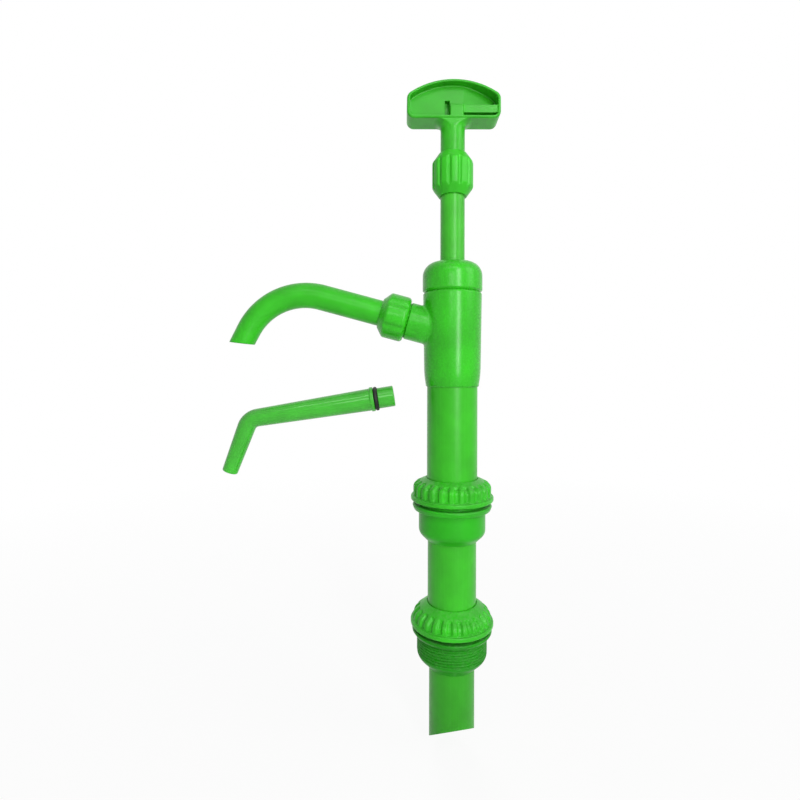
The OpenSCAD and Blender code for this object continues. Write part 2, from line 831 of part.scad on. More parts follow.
module nozzle() {
    bend_r = nozzle_bend_d / 2;
    groove_r = nozzle_ring_mid - nozzle_ring_r - push_gap;
    groove_z = nozzle_ring_z - nozzle_ring_r - 0.15;
    groove_top = nozzle_ring_z + nozzle_ring_r + 0.15;
    collar_top = spigot_len + nozzle_collar_h;
    leg = nozzle_short - nozzle_tangent;
    long_leg = [
        [nozzle_bore_r, 0], [spigot_r - 0.8, 0], [spigot_r, 0.8], [spigot_r, groove_z], [groove_r, groove_z],
        [groove_r, groove_top], [nozzle_collar_r, groove_top], [nozzle_collar_r, collar_top],
        [nozzle_wide_d / 2, collar_top], [bend_r, nozzle_straight + bend_lap],
        [nozzle_bore_r, nozzle_straight + bend_lap]];
    short_leg = [
        [nozzle_bore_r, -bend_lap], [bend_r, -bend_lap], [nozzle_tip_d / 2, leg], [nozzle_bore_r, leg]];
    color([0.26, 0.72, 0.22])
        on_nozzle() {
            rotate_extrude()
                polygon(long_leg);
            bend(nozzle_straight, nozzle_bend_r, nozzle_bend, bend_r, nozzle_bore_r);
            behind_bend(nozzle_straight, nozzle_bend_r, nozzle_bend)
                rotate_extrude()
                    polygon(short_leg);
        }
}

module nozzle_o_ring() {
    color([0.08, 0.08, 0.08])
        on_nozzle()
            translate([0, 0, nozzle_ring_z])
                rotate_extrude()
                    translate([nozzle_ring_mid, 0])
                        circle(r = nozzle_ring_r, $fn = 32);
}

handle();
handle_nut();
handle_washer();
piston_rod();
piston_cage();
piston_head();
piston_ring();
piston_ball();
gland_cap();
rod_packing();
rod_bush();
pump_head();
cylinder_tube();  // cylinder
upper_union_nut();
upper_union_gasket();
union_socket();
foot_valve_cage();
foot_valve_ball();
foot_valve_seat();
middle_tube();
lower_union_nut();
lower_union_gasket();
bung_adapter();
suction_tube();
spout();
spout_nut();
spout_o_ring();
nozzle();
nozzle_o_ring();
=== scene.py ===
"""Looks of a hand drum pump with a loose nozzle: moulded shapes, finishes, light and camera.

The shape classes hold their lengths in millimetres, in the row frame. A mesh is made in metres.
"""

import json
import logging
import math
from dataclasses import dataclass
from enum import Enum
from typing import Any, Callable, Optional, Sequence

import bpy
import numpy as np
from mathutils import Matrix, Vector


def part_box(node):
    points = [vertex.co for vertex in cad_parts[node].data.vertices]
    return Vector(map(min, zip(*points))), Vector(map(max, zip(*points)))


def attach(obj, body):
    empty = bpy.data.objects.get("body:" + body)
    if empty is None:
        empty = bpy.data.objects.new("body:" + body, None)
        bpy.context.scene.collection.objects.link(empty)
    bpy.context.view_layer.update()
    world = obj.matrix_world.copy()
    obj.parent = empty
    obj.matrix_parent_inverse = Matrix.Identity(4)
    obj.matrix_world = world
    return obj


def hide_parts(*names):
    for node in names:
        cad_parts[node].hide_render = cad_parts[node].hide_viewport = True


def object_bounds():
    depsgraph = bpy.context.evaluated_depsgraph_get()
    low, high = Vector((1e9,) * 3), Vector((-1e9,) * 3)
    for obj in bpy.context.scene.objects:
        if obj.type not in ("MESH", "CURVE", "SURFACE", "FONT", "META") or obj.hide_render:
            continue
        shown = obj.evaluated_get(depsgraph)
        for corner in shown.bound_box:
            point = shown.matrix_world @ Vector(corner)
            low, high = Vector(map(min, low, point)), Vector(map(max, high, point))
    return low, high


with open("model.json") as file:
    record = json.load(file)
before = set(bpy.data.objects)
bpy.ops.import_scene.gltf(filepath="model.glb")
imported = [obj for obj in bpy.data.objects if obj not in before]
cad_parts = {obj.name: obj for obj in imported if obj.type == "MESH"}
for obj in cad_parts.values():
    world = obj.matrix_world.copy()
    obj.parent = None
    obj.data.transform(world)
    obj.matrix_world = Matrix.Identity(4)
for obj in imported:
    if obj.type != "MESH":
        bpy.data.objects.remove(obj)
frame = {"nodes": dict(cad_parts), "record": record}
CAD_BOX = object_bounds()

LOG = logging.getLogger("drum_pump")
MM = 0.001
IMAGE_SIDE = 800

# Rounded corners: the share of an edge that they may use up, the turn in radians below which a corner stays
# as it is, and the degrees between two points of a rounding.
EDGE_SHARE = 0.98
LEAST_TURN = 0.02
ARC_STEP = 9.0

Array = np.ndarray
Colour = tuple[float, float, float]
Corner = tuple[float, float, float]
Field = Callable[[Array], Array]
Shaper = Callable[[Array, Array, Array], Array]


class Slot(Enum):
    """The record's material slots."""

    GREEN = "green_plastic"
    RUBBER = "seal_rubber"
    STEEL = "ball_steel"
    BUSH = "bush_plastic"


def linear(red: int, green: int, blue: int) -> Colour:
    """Linear colour of a screen colour given from 0 to 255.

    Args:
        red: Red on the screen.
        green: Green on the screen.
        blue: Blue on the screen.

    Returns:
        The same colour in linear light.
    """
    shares = [value / 255 for value in (red, green, blue)]
    r, g, b = (v / 12.92 if v <= 0.04045 else ((v + 0.055) / 1.055) ** 2.4 for v in shares)
    return (r, g, b)


def smooth_step(low: float, high: float, value: Array) -> Array:
    """Eased step from 0 at low to 1 at high.

    Args:
        low: Where the step starts.
        high: Where the step ends.
        value: Where to read it.

    Returns:
        The step's height at each value.
    """
    share = np.clip((value - low) / (high - low), 0, 1)
    return share * share * (3 - 2 * share)


def soft_min(a: Array, b: Array, width: float) -> Array:
    """Lower of two values, blended over a width.

    Args:
        a: First values.
        b: Second values.
        width: Difference over which the two blend.

    Returns:
        The blended lower values.
    """
    share = np.clip(0.5 + 0.5 * (b - a) / width, 0, 1)
    return b + (a - b) * share - width * share * (1 - share)


def soft_max(a: Array, b: Array, width: float) -> Array:
    """Higher of two values, blended over a width.

    Args:
        a: First values.
        b: Second values.
        width: Difference over which the two blend.

    Returns:
        The blended higher values.
    """
    return -soft_min(-a, -b, width)


def filleted(a: Array, b: Array, radius: float) -> Array:
    """Distance to two joined forms with a round fillet between them.

    Args:
        a: Distance to the first form.
        b: Distance to the second form.
        radius: Radius of the fillet.

    Returns:
        Distance to the joined form.
    """
    corner = np.hypot(np.maximum(radius - a, 0), np.maximum(radius - b, 0))
    return np.maximum(radius, np.minimum(a, b)) - corner


def rounded_edge(a: Array, b: Array, radius: float) -> Array:
    """Distance to the corner of two sides that is rounded outward.

    Args:
        a: Distance to the first side, drawn in by the radius.
        b: Distance to the second side, drawn in by the radius.
        radius: Radius of the rounding.

    Returns:
        Distance to the rounded form.
    """
    corner = np.hypot(np.maximum(a, 0), np.maximum(b, 0))
    return corner + np.minimum(np.maximum(a, b), 0) - radius


def rounded_outline(corners: Sequence[Corner], longest: float = 5.0) -> Array:
    """Closed outline through corners that are each rounded by their own radius.

    Args:
        corners: Across, along and rounding radius of each corner, with the solid on the left hand.
        longest: Longest step that is left between two points.

    Returns:
        The outline's points as rows of across and along.
    """
    spots = np.array([corner[:2] for corner in corners], float)
    edges = np.roll(spots, -1, axis=0) - spots
    lengths = np.linalg.norm(edges, axis=1)
    headings = edges / lengths[:, None]
    turns = np.arccos(np.clip((np.roll(headings, 1, axis=0) * headings).sum(axis=1), -1, 1))
    cuts = np.array([corner[2] for corner in corners]) * np.tan(turns / 2)
    fits = np.minimum(1, EDGE_SHARE * lengths / np.maximum(cuts + np.roll(cuts, -1), 1e-9))
    cuts = cuts * np.minimum(fits, np.roll(fits, 1))
    points: list[Array] = []
    for i, (here, turn, cut) in enumerate(zip(spots, turns, cuts)):
        if cut <= 0 or turn < LEAST_TURN:
            points.append(here)
            continue
        back, ahead = -headings[i - 1], headings[i]
        middle = (back + ahead) / np.linalg.norm(back + ahead)
        centre = here + middle * (cut / math.sin(turn / 2))
        spoke = here + back * cut - centre
        side = -np.sign(back[0] * ahead[1] - back[1] * ahead[0])
        steps = max(3, round(math.degrees(turn) / ARC_STEP))
        for k in range(steps + 1):
            c, s = math.cos(side * turn * k / steps), math.sin(side * turn * k / steps)
            points.append(centre + np.array((c * spoke[0] - s * spoke[1], s * spoke[0] + c * spoke[1])))
    full: list[Array] = []
    for here, ahead in zip(points, points[1:] + points[:1]):
        pieces = max(1, math.ceil(float(np.linalg.norm(ahead - here)) / longest))
        full += [here + (ahead - here) * k / pieces for k in range(pieces)]
    return np.array(full)


@dataclass(frozen=True)
class BentAxis:
    """Centre line in the plane of the spout: straight runs with bends toward its left hand between them.

    The fields are the start across and above the origin, the start's rise above level, which is 90 for
    straight up, and the runs as pairs of length and bend angle. A run with no angle is straight.
    """

    start: tuple[float, float] = (0.0, 0.0)
    rise: float = 90.0
    runs: tuple[tuple[float, float], ...] = ()

    def place(self, along: Array) -> tuple[Array, Array]:
        """Points on the line and the headings there.

        Args:
            along: Lengths along the line from its start.

        Returns:
            Points in the row frame and headings in degrees above level toward -X, both shaped as along.
        """
        heading = np.full(along.shape, self.rise)
        spot = np.zeros(along.shape + (2,))
        here, angle, done = np.array(self.start), self.rise, 0.0
        runs = self.runs + ((math.inf, 0.0),)
        for i, (length, turn) in enumerate(runs):
            rest = np.clip(along - done, -math.inf if i == 0 else 0.0, length)
            mask = (along >= done) | (i == 0)
            if turn:
                swing = angle - turn * rest / length
                radius = length / math.radians(turn)
                pivot = here - radius * self._normal(angle)
                point = pivot + radius * self._normal(swing)
            else:
                swing = np.full(along.shape, angle)
                point = here + rest[..., None] * self._ahead(angle)
            spot[mask], heading[mask] = point[mask], swing[mask]
            if math.isfinite(length):
                if turn:
                    here = pivot + radius * self._normal(angle - turn)
                else:
                    here = here + length * self._ahead(angle)
                angle, done = angle - turn, done + length
        return spot, heading

    @staticmethod
    def _ahead(degrees: Any) -> Array:
        """Unit heading in the plane, across and up."""
        a = np.radians(degrees)
        return np.stack([-np.cos(a), np.sin(a)], axis=-1)

    @staticmethod
    def _normal(degrees: Any) -> Array:
        """Unit vector at the right hand of a heading, across and up."""
        a = np.radians(degrees)
        return np.stack([np.sin(a), np.cos(a)], axis=-1)

    def spread(self, theta: Array, radius: Array, along: Array) -> Array:
        """Points round the line.

        Args:
            theta: Angle round the line, from its right hand.
            radius: Distance from the line.
            along: Length along the line.

        Returns:
            Points in the row frame, in millimetres.
        """
        spot, heading = self.place(along)
        out = self._normal(heading) * (radius * np.cos(theta))[..., None]
        flat = spot + out
        return np.stack([flat[..., 0], radius * np.sin(theta), flat[..., 1]], axis=-1)


UPRIGHT = BentAxis()


class MeshMaker:
    """Makes Blender meshes from point grids and from distance fields."""

    SHARP_ABOVE = 38.0
    SLOPE_STEP = 0.02
    LEAST_STEEP = 0.25
    EASES = (0.5, 0.5, 0.0)
    PULLS = 3

    @classmethod
    def make(cls, name: str, points: Array, faces: Array,
             normals: Optional[Array] = None) -> bpy.types.Object:
        """New mesh object in the scene.

        Args:
            name: Name of the piece.
            points: Corners in millimetres.
            faces: Rows of four corner numbers.
            normals: One normal per corner, or None to let the angle between faces decide.

        Returns:
            The new object.
        """
        mesh = bpy.data.meshes.new(name)
        mesh.from_pydata((points * MM).tolist(), [], faces.tolist())
        mesh.validate()
        mesh.shade_smooth()
        if normals is None:
            mesh.set_sharp_from_angle(angle=math.radians(cls.SHARP_ABOVE))
        else:
            mesh.normals_split_custom_set_from_vertices(normals.tolist())
        obj = bpy.data.objects.new(name, mesh)
        bpy.context.scene.collection.objects.link(obj)
        return obj

    @classmethod
    def turned(cls, name: str, outline: Array, columns: int, axis: BentAxis = UPRIGHT,
               groove: Optional[Shaper] = None, slant: Optional[Shaper] = None) -> bpy.types.Object:
        """Closed outline turned round a straight or bent axis.

        Args:
            name: Name of the piece.
            outline: Rows of radius and length along the axis.
            columns: Number of steps round the axis.
            axis: Centre line.
            groove: Changes the radius by angle, radius and length.
            slant: Changes the length by angle, radius and length.

        Returns:
            The new object.
        """
        theta = np.broadcast_to(np.arange(columns) * (2 * math.pi / columns), (len(outline), columns))
        radius = np.repeat(outline[:, :1], columns, axis=1)
        along = np.repeat(outline[:, 1:], columns, axis=1)
        if groove:
            radius = groove(theta, radius, along)
        if slant:
            along = slant(theta, radius, along)
        points = axis.spread(theta, radius, along)
        index = np.arange(points.shape[0] * columns).reshape(-1, columns)
        above = np.roll(index, -1, axis=0)
        faces = np.stack([index, np.roll(index, -1, 1), np.roll(above, -1, 1), above], axis=-1)
        return cls.make(name, points.reshape(-1, 3), faces.reshape(-1, 4))

    @classmethod
    def skin(cls, name: str, field: Field, low: Sequence[float], high: Sequence[float],
             cell: float) -> bpy.types.Object:
        """Skin of a form given by its distance field.

        Args:
            name: Name of the piece.
            field: Signed distance at points, negative inside.
            low: Lowest corner of the room round the form.
            high: Highest corner of that room.
            cell: Size of the grid's cells.

        Returns:
            The new object.
        """
        axes = [np.arange(a, b + cell, cell) for a, b in zip(low, high)]
        grid = np.stack(np.meshgrid(*axes, indexing="ij"), axis=-1)
        value = field(grid.reshape(-1, 3)).reshape(grid.shape[:3])
        inside = value < 0
        size = np.array(value.shape)
        total, count = np.zeros((*(size - 1), 3)), np.zeros(size - 1)
        crossings: list[tuple[Array, Array]] = []
        for axis in range(3):
            first = tuple(slice(0, -1) if k == axis else slice(None) for k in range(3))
            second = tuple(slice(1, None) if k == axis else slice(None) for k in range(3))
            cross = inside[first] != inside[second]
            gap = np.where(cross, value[first] - value[second], 1)
            point = grid[first].copy()
            point[..., axis] += cell * np.where(cross, value[first] / gap, 0)
            crossings.append((cross, inside[first]))
            u, v = (axis + 1) % 3, (axis + 2) % 3
            for i in (0, 1):
                for j in (0, 1):
                    pick = [slice(None)] * 3
                    pick[u], pick[v] = slice(i, size[u] - 1 + i), slice(j, size[v] - 1 + j)
                    hit = cross[tuple(pick)]
                    total[hit] += point[tuple(pick)][hit]
                    count += hit
        used = count > 0
        number = np.full(used.shape, -1)
        number[used] = np.arange(used.sum())
        points = total[used] / count[used][:, None]
        quads: list[Array] = []
        for axis, (cross, starts_inside) in enumerate(crossings):
            spot = np.argwhere(cross)
            u, v = (axis + 1) % 3, (axis + 2) % 3
            ring = []
            for du, dv in ((1, 1), (0, 1), (0, 0), (1, 0)):
                cell_spot = spot.copy()
                cell_spot[:, u] -= du
                cell_spot[:, v] -= dv
                ring.append(number[tuple(cell_spot.T)])
            quad = np.stack(ring, axis=-1)
            outward = starts_inside[cross]
            quads.append(np.where(outward[:, None], quad, quad[:, ::-1]))
        faces = np.concatenate(quads)
        points = cls._settle(points, faces, field, cell)
        slope = cls._slope(field, points)
        return cls.make(name, points, faces, slope / np.linalg.norm(slope, axis=1)[:, None])

    @classmethod
    def _slope(cls, field: Field, points: Array) -> Array:
        """Gradient of a field at points."""
        return np.stack([(field(points + shift) - field(points - shift)) / (2 * cls.SLOPE_STEP)
                         for shift in np.eye(3) * cls.SLOPE_STEP], axis=-1)

    @classmethod
    def _settle(cls, points: Array, faces: Array, field: Field, cell: float) -> Array:
        """Evens the mesh out and draws its points onto the form.

        Args:
            points: First points of the skin.
            faces: Faces of the skin.
            field: Signed distance at points.
            cell: Size of the grid's cells.

        Returns:
            The settled points.
        """
        corners = faces.ravel()
        share = np.bincount(corners, minlength=len(points))[:, None]
        for ease in cls.EASES:
            middle = points[faces].mean(axis=1)
            pull = np.stack([np.bincount(corners, np.repeat(middle[:, k], 4), len(points))
                             for k in range(3)], axis=-1)
            points = points + ease * (pull / share - points)
            for _ in range(cls.PULLS):
                slope = cls._slope(field, points)
                steep = np.maximum((slope ** 2).sum(axis=1), cls.LEAST_STEEP)
                step = np.clip(field(points) / steep, -cell / 2, cell / 2)
                points = points - step[:, None] * slope
        return points


class NodeBench:
    """Adds and joins shader nodes in one tree."""

    def __init__(self, tree: bpy.types.NodeTree) -> None:
        """Starts on an empty tree."""
        self.tree = tree
        tree.nodes.clear()

    def add(self, kind: str, inputs: Optional[dict[Any, Any]] = None, **settings: Any) -> bpy.types.Node:
        """Adds a node.

        Args:
            kind: The node's type name.
            inputs: Values or sockets for its inputs, by name or number.
            settings: Its own settings.

        Returns:
            The new node.
        """
        node = self.tree.nodes.new(kind)
        for key, value in settings.items():
            setattr(node, key, value)
        for key, value in (inputs or {}).items():
            if isinstance(value, bpy.types.NodeSocket):
                self.tree.links.new(value, node.inputs[key])
            else:
                node.inputs[key].default_value = value
        return node

    def math(self, operation: str, a: Any, b: Any = 0.0) -> bpy.types.NodeSocket:
        """Result of a sum on two values or sockets."""
        return self.add("ShaderNodeMath", {0: a, 1: b}, operation=operation).outputs[0]

    def ramp(self, value: Any, low: float, high: float, start: float = 0.0,
             end: float = 1.0) -> bpy.types.NodeSocket:
        """Value mapped from low and high to start and end, held at both ends.

        Args:
            value: The socket to map.
            low: Value that becomes start.
            high: Value that becomes end.
            start: Result at low.
            end: Result at high.

        Returns:
            The mapped value.
        """
        sockets = {"Value": value, "From Min": low, "From Max": high, "To Min": start, "To Max": end}
        return self.add("ShaderNodeMapRange", sockets, clamp=True).outputs["Result"]

    def blend(self, share: Any, a: Any, b: Any) -> bpy.types.NodeSocket:
        """Colour between two colours."""
        return self.add("ShaderNodeMix", {0: share, 6: a, 7: b}, data_type="RGBA").outputs[2]


class Effect(Enum):
    """Surface effects that the finishes share, by the names of their node groups."""

    CLOUDS = "moulding_clouds"
    PEEL = "surface_peel"
    RUB = "edge_rub"
    DUST = "settled_dust"


class SurfaceEffects:
    """Node groups of the surface effects, each made once."""

    def __init__(self) -> None:
        """Starts with no group made."""
        self._made: dict[Effect, bpy.types.NodeTree] = {}
        self._makers = {Effect.CLOUDS: self._clouds, Effect.PEEL: self._peel, Effect.RUB: self._rub,
                        Effect.DUST: self._dust}

    def group(self, effect: Effect) -> bpy.types.NodeTree:
        """Node group of an effect, made at its first use.

        Args:
            effect: The effect.

        Returns:
            Its node group.
        """
        if effect not in self._made:
            self._made[effect] = self._makers[effect]()
        return self._made[effect]

    @staticmethod
    def _start(effect: Effect, inputs: dict[str, float], outputs: Sequence[str]) -> tuple[NodeBench, Any, Any]:
        """Empty group with its sockets.

        Args:
            effect: The effect it is for.
            inputs: Input names with their usual values.
            outputs: Output names.

        Returns:
            The group's bench, its input node and its output node.
        """
        tree = bpy.data.node_groups.new(effect.value, "ShaderNodeTree")
        for key, value in inputs.items():
            socket = tree.interface.new_socket(name=key, in_out="INPUT", socket_type="NodeSocketFloat")
            socket.default_value = value
        for key in outputs:
            tree.interface.new_socket(name=key, in_out="OUTPUT", socket_type="NodeSocketFloat")
        bench = NodeBench(tree)
        return bench, bench.add("NodeGroupInput"), bench.add("NodeGroupOutput")

    def _clouds(self) -> bpy.types.NodeTree:
        """Soft clouds and fine specks of colour from the moulding.

        Returns:
            The node group.
        """
        bench, source, result = self._start(Effect.CLOUDS, {"Scale": 30.0, "Seed": 0.0}, ("Cloud", "Speck"))
        place = bench.add("ShaderNodeTexCoord").outputs["Object"]
        seed = {"Vector": place, "W": source.outputs["Seed"]}
        cloud = bench.add("ShaderNodeTexNoise", {**seed, "Scale": source.outputs["Scale"], "Detail": 3.0,
                                                 "Roughness": 0.55}, noise_dimensions="4D")
        finer = bench.math("MULTIPLY", source.outputs["Scale"], 14.0)
        speck = bench.add("ShaderNodeTexNoise", {**seed, "Scale": finer, "Detail": 2.0}, noise_dimensions="4D")
        bench.tree.links.new(bench.ramp(cloud.outputs[0], 0.3, 0.7), result.inputs["Cloud"])
        bench.tree.links.new(bench.ramp(speck.outputs[0], 0.3, 0.7), result.inputs["Speck"])
        return bench.tree

    def _peel(self) -> bpy.types.NodeTree:
        """Fine uneven skin, with lines drawn along the upright axis where the piece has them.

        Returns:
            The node group.
        """
        bench, source, result = self._start(Effect.PEEL, {"Scale": 650.0, "Lines": 0.0}, ("Height", "Line"))
        place = bench.add("ShaderNodeTexCoord").outputs["Object"]
        peel = bench.add("ShaderNodeTexNoise", {"Vector": place, "Scale": source.outputs["Scale"],
                                                "Detail": 2.0})
        drawn = bench.add("ShaderNodeVectorMath", {0: place, 1: (1.0, 1.0, 0.012)}, operation="MULTIPLY")
        line = bench.add("ShaderNodeTexNoise", {"Vector": drawn.outputs[0], "Scale": 900.0, "Detail": 3.0})
        mark = bench.math("MULTIPLY", bench.ramp(line.outputs[0], 0.5, 0.75), source.outputs["Lines"])
        uneven, drawn_in = bench.math("MULTIPLY", peel.outputs[0], 0.5), bench.math("MULTIPLY", mark, 0.6)
        height = bench.math("SUBTRACT", uneven, drawn_in)
        bench.tree.links.new(height, result.inputs["Height"])
        bench.tree.links.new(mark, result.inputs["Line"])
        return bench.tree

    def _rub(self) -> bpy.types.NodeTree:
        """Patchy mask on edges that hands and tools rub.

        Returns:
            The node group.
        """
        bench, source, result = self._start(Effect.RUB, {"Amount": 1.0, "Seed": 0.0}, ("Mask",))
        place = bench.add("ShaderNodeTexCoord").outputs["Object"]
        point = bench.add("ShaderNodeNewGeometry").outputs["Pointiness"]
        patch = bench.add("ShaderNodeTexNoise", {"Vector": place, "W": source.outputs["Seed"], "Scale": 160.0,
                                                 "Detail": 4.0}, noise_dimensions="4D")
        edge = bench.math("MULTIPLY", bench.ramp(point, 0.53, 0.62), bench.ramp(patch.outputs[0], 0.38, 0.62))
        bench.tree.links.new(bench.math("MULTIPLY", edge, source.outputs["Amount"]), result.inputs["Mask"])
        return bench.tree

    def _dust(self) -> bpy.types.NodeTree:
        """Thin dust on faces that look up.

        Returns:
            The node group.
        """
        bench, source, result = self._start(Effect.DUST, {"Amount": 1.0}, ("Mask",))
        place = bench.add("ShaderNodeTexCoord").outputs["Object"]
        normal = bench.add("ShaderNodeNewGeometry").outputs["Normal"]
        up = bench.add("ShaderNodeSeparateXYZ", {0: normal}).outputs["Z"]
        patch = bench.add("ShaderNodeTexNoise", {"Vector": place, "Scale": 420.0, "Detail": 5.0})
        lies = bench.math("MULTIPLY", bench.ramp(up, 0.35, 0.95), bench.ramp(patch.outputs[0], 0.35, 0.7))
        bench.tree.links.new(bench.math("MULTIPLY", lies, source.outputs["Amount"]), result.inputs["Mask"])
        return bench.tree


EFFECTS = SurfaceEffects()


@dataclass(frozen=True)
class Finish:
    """A moulded or rubber finish: colour, gloss and how its surface varies.

    Attributes:
        name: Name of the material.
        slot: The record's slot it belongs to; not used.
        colour: Its colour in linear light.
        roughness: Its roughness where it is clean.
        cloud: How far the colour wanders, as a share.
        cloud_scale: How many clouds to the metre.
        peel: Depth of the uneven skin, in metres.
        peel_scale: How fine the uneven skin is.
        lines: Strength of lines drawn along the piece.
        rub: Strength of the pale rubbed edges.
        dust: Strength of the dust on top.
        seed: Shifts the patterns.
        metallic: 1 for bare metal.
        specular: Strength of the clear reflection.
    """

    name: str
    slot: Slot
    colour: Colour
    roughness: float = 0.33
    cloud: float = 0.16
    cloud_scale: float = 34.0
    peel: float = 0.00005
    peel_scale: float = 520.0
    lines: float = 0.0
    rub: float = 0.35
    dust: float = 0.12
    seed: float = 0.0
    metallic: float = 0.0
    specular: float = 0.32

    DUST_COLOUR = (0.55, 0.55, 0.5, 1.0)
    LINE_SHOWS = 0.25
    SPECK_ROUGH = 0.035
    RUB_ROUGH = 0.3
    DUST_ROUGH = 0.5
    LINE_ROUGH = 0.12

    def material(self) -> bpy.types.Material:
        """Node material of this finish.

        Returns:
            The material, made at its first use.
        """
        found = bpy.data.materials.get(self.name)
        if found:
            return found
        made = bpy.data.materials.new(self.name)
        made.use_nodes = True
        bench = NodeBench(made.node_tree)
        clouds = self._effect(bench, Effect.CLOUDS, Scale=self.cloud_scale, Seed=self.seed)
        peel = self._effect(bench, Effect.PEEL, Scale=self.peel_scale, Lines=self.lines)
        rub = self._effect(bench, Effect.RUB, Amount=self.rub, Seed=self.seed)
        dust = self._effect(bench, Effect.DUST, Amount=self.dust)
        dark, pale = self._tone(1 - self.cloud), self._tone(1 + self.cloud)
        colour = bench.blend(clouds.outputs["Cloud"], dark, pale)
        drawn = bench.math("MULTIPLY", peel.outputs["Line"], self.LINE_SHOWS)
        colour = bench.blend(drawn, colour, self._tone(1.5, 0.06))
        colour = bench.blend(rub.outputs["Mask"], colour, self._tone(1.25, 0.12))
        colour = bench.blend(dust.outputs["Mask"], colour, self.DUST_COLOUR)
        smoothest, roughest = self.roughness - self.SPECK_ROUGH, self.roughness + self.SPECK_ROUGH
        rough = bench.ramp(clouds.outputs["Speck"], 0.0, 1.0, smoothest, roughest)
        for mask, extra in ((rub.outputs["Mask"], self.RUB_ROUGH), (dust.outputs["Mask"], self.DUST_ROUGH),
                            (peel.outputs["Line"], self.LINE_ROUGH)):
            rough = bench.math("ADD", rough, bench.math("MULTIPLY", mask, extra))
        bump = bench.add("ShaderNodeBump", {"Height": peel.outputs["Height"], "Distance": self.peel,
                                            "Strength": 1.0})
        shader = bench.add("ShaderNodeBsdfPrincipled", {
            "Base Color": colour, "Roughness": rough, "Normal": bump.outputs[0], "Metallic": self.metallic,
            "Specular IOR Level": self.specular})
        bench.add("ShaderNodeOutputMaterial", {"Surface": shader.outputs[0]})
        return made

    def _tone(self, factor: float, lift: float = 0.0) -> tuple[float, float, float, float]:
        """The finish's colour made darker or paler, then lifted toward white."""
        r, g, b = (min(1.0, v * factor * (1 - lift) + lift) for v in self.colour)
        return (r, g, b, 1.0)

    @staticmethod
    def _effect(bench: NodeBench, effect: Effect, **values: float) -> bpy.types.Node:
        """Places a shared node group with its own values.

        Args:
            bench: Adds the nodes of the material.
            effect: The effect.
            values: The group's inputs.

        Returns:
            The node.
        """
        node = bench.add("ShaderNodeGroup", node_tree=EFFECTS.group(effect))
        for key, value in values.items():
            node.inputs[key].default_value = value
        return node


GREEN = linear(48, 186, 24)
HEAD_GREEN = Finish("head_green", Slot.GREEN, GREEN, roughness=0.26, seed=1.0)
# Painted shade: the socket's green is a darker copy of the pump green, standing in for the shade on its
# underside low on the pump.
SOCKET_GREEN_PAINTED_SHADE = Finish("socket_green_painted_shade", Slot.GREEN, linear(38, 172, 20), roughness=0.34, seed=12.0, specular=0.25)
# Painted shade: the adapter's green is a much darker copy of the pump green, standing in for the shade under
# the nut's lip at the pump's foot.
ADAPTER_GREEN_PAINTED_SHADE = Finish("adapter_green_painted_shade", Slot.GREEN, linear(28, 148, 12), roughness=0.38, rub=0.6, seed=13.0,
                       specular=0.15)
NUT_GREEN = Finish("nut_green", Slot.GREEN, GREEN, roughness=0.36, seed=2.0, rub=0.5)
TUBE_GREEN = Finish("tube_green", Slot.GREEN, linear(52, 180, 26), roughness=0.34, lines=0.35, seed=3.0)
# Painted shade: the suction tube's green is a darker copy of the pump green, standing in for the light that
# falls off toward the pump's lower end.
SUCTION_GREEN_PAINTED_SHADE = Finish("suction_green_painted_shade", Slot.GREEN, linear(46, 160, 20), roughness=0.4, lines=0.45, seed=4.0)
ROD_GREEN = Finish("rod_green", Slot.GREEN, linear(60, 182, 36), roughness=0.32, lines=0.6, seed=5.0)
# Painted shade: the handle's green is a darker copy of the pump green, toning down the extra lamp light that
# falls on its face.
HANDLE_GREEN_PAINTED_SHADE = Finish("handle_green_painted_shade", Slot.GREEN, linear(46, 174, 22), roughness=0.34, seed=6.0, rub=0.5)
SPOUT_GREEN = Finish("spout_green", Slot.GREEN, linear(48, 184, 24), roughness=0.33, seed=7.0)
NOZZLE_GREEN = Finish("nozzle_green", Slot.GREEN, linear(56, 182, 36), roughness=0.19, peel=0.000015, seed=8.0,
                      specular=0.5)
SEAL_BLACK = Finish("seal_black", Slot.RUBBER, (0.012, 0.013, 0.012), roughness=0.6, peel=0.00003, rub=0.15,
                    dust=0.1, seed=9.0, specular=0.35)
BALL_METAL = Finish("ball_metal", Slot.STEEL, (0.6, 0.6, 0.62), roughness=0.2, cloud=0.05, peel=0.000005,
                    rub=0.0, dust=0.0, seed=10.0, metallic=1.0)
BUSH_WHITE = Finish("bush_white", Slot.BUSH, (0.7, 0.7, 0.64), roughness=0.5, cloud=0.05, seed=11.0, rub=0.1)


class Bench:
    """Puts finished pieces in place of their CAD nodes and reports them."""

    def __init__(self) -> None:
        """Reads which body each node rides on."""
        groups = frame["record"]["behaviour"]["bodies"]
        self.body_of = {node: body for body, members in groups.items() for node in members}

    def fit(self, piece: bpy.types.Object, node: str, finish: Finish) -> None:
        """Dresses a piece and lets it stand for its CAD node.

        Args:
            piece: The new mesh object, in the row frame.
            node: The CAD node it stands for.
            finish: Its finish.
        """
        piece.data.materials.append(finish.material())
        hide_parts(node)
        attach(piece, self.body_of[node])
        LOG.info("%s: %d faces, %s", piece.name, len(piece.data.polygons), finish.name)

    def dress(self, node: str, finish: Finish) -> None:
        """Gives a CAD node that stays in view its finish.

        Args:
            node: The CAD node.
            finish: Its finish.
        """
        mesh = frame["nodes"][node].data
        mesh.materials.clear()
        mesh.materials.append(finish.material())
        LOG.info("%s: kept, %s", node, finish.name)


def span(node: str) -> tuple[float, float]:
    """Lowest and highest level of a CAD node, in millimetres."""
    low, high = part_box(node)
    return low.z / MM, high.z / MM


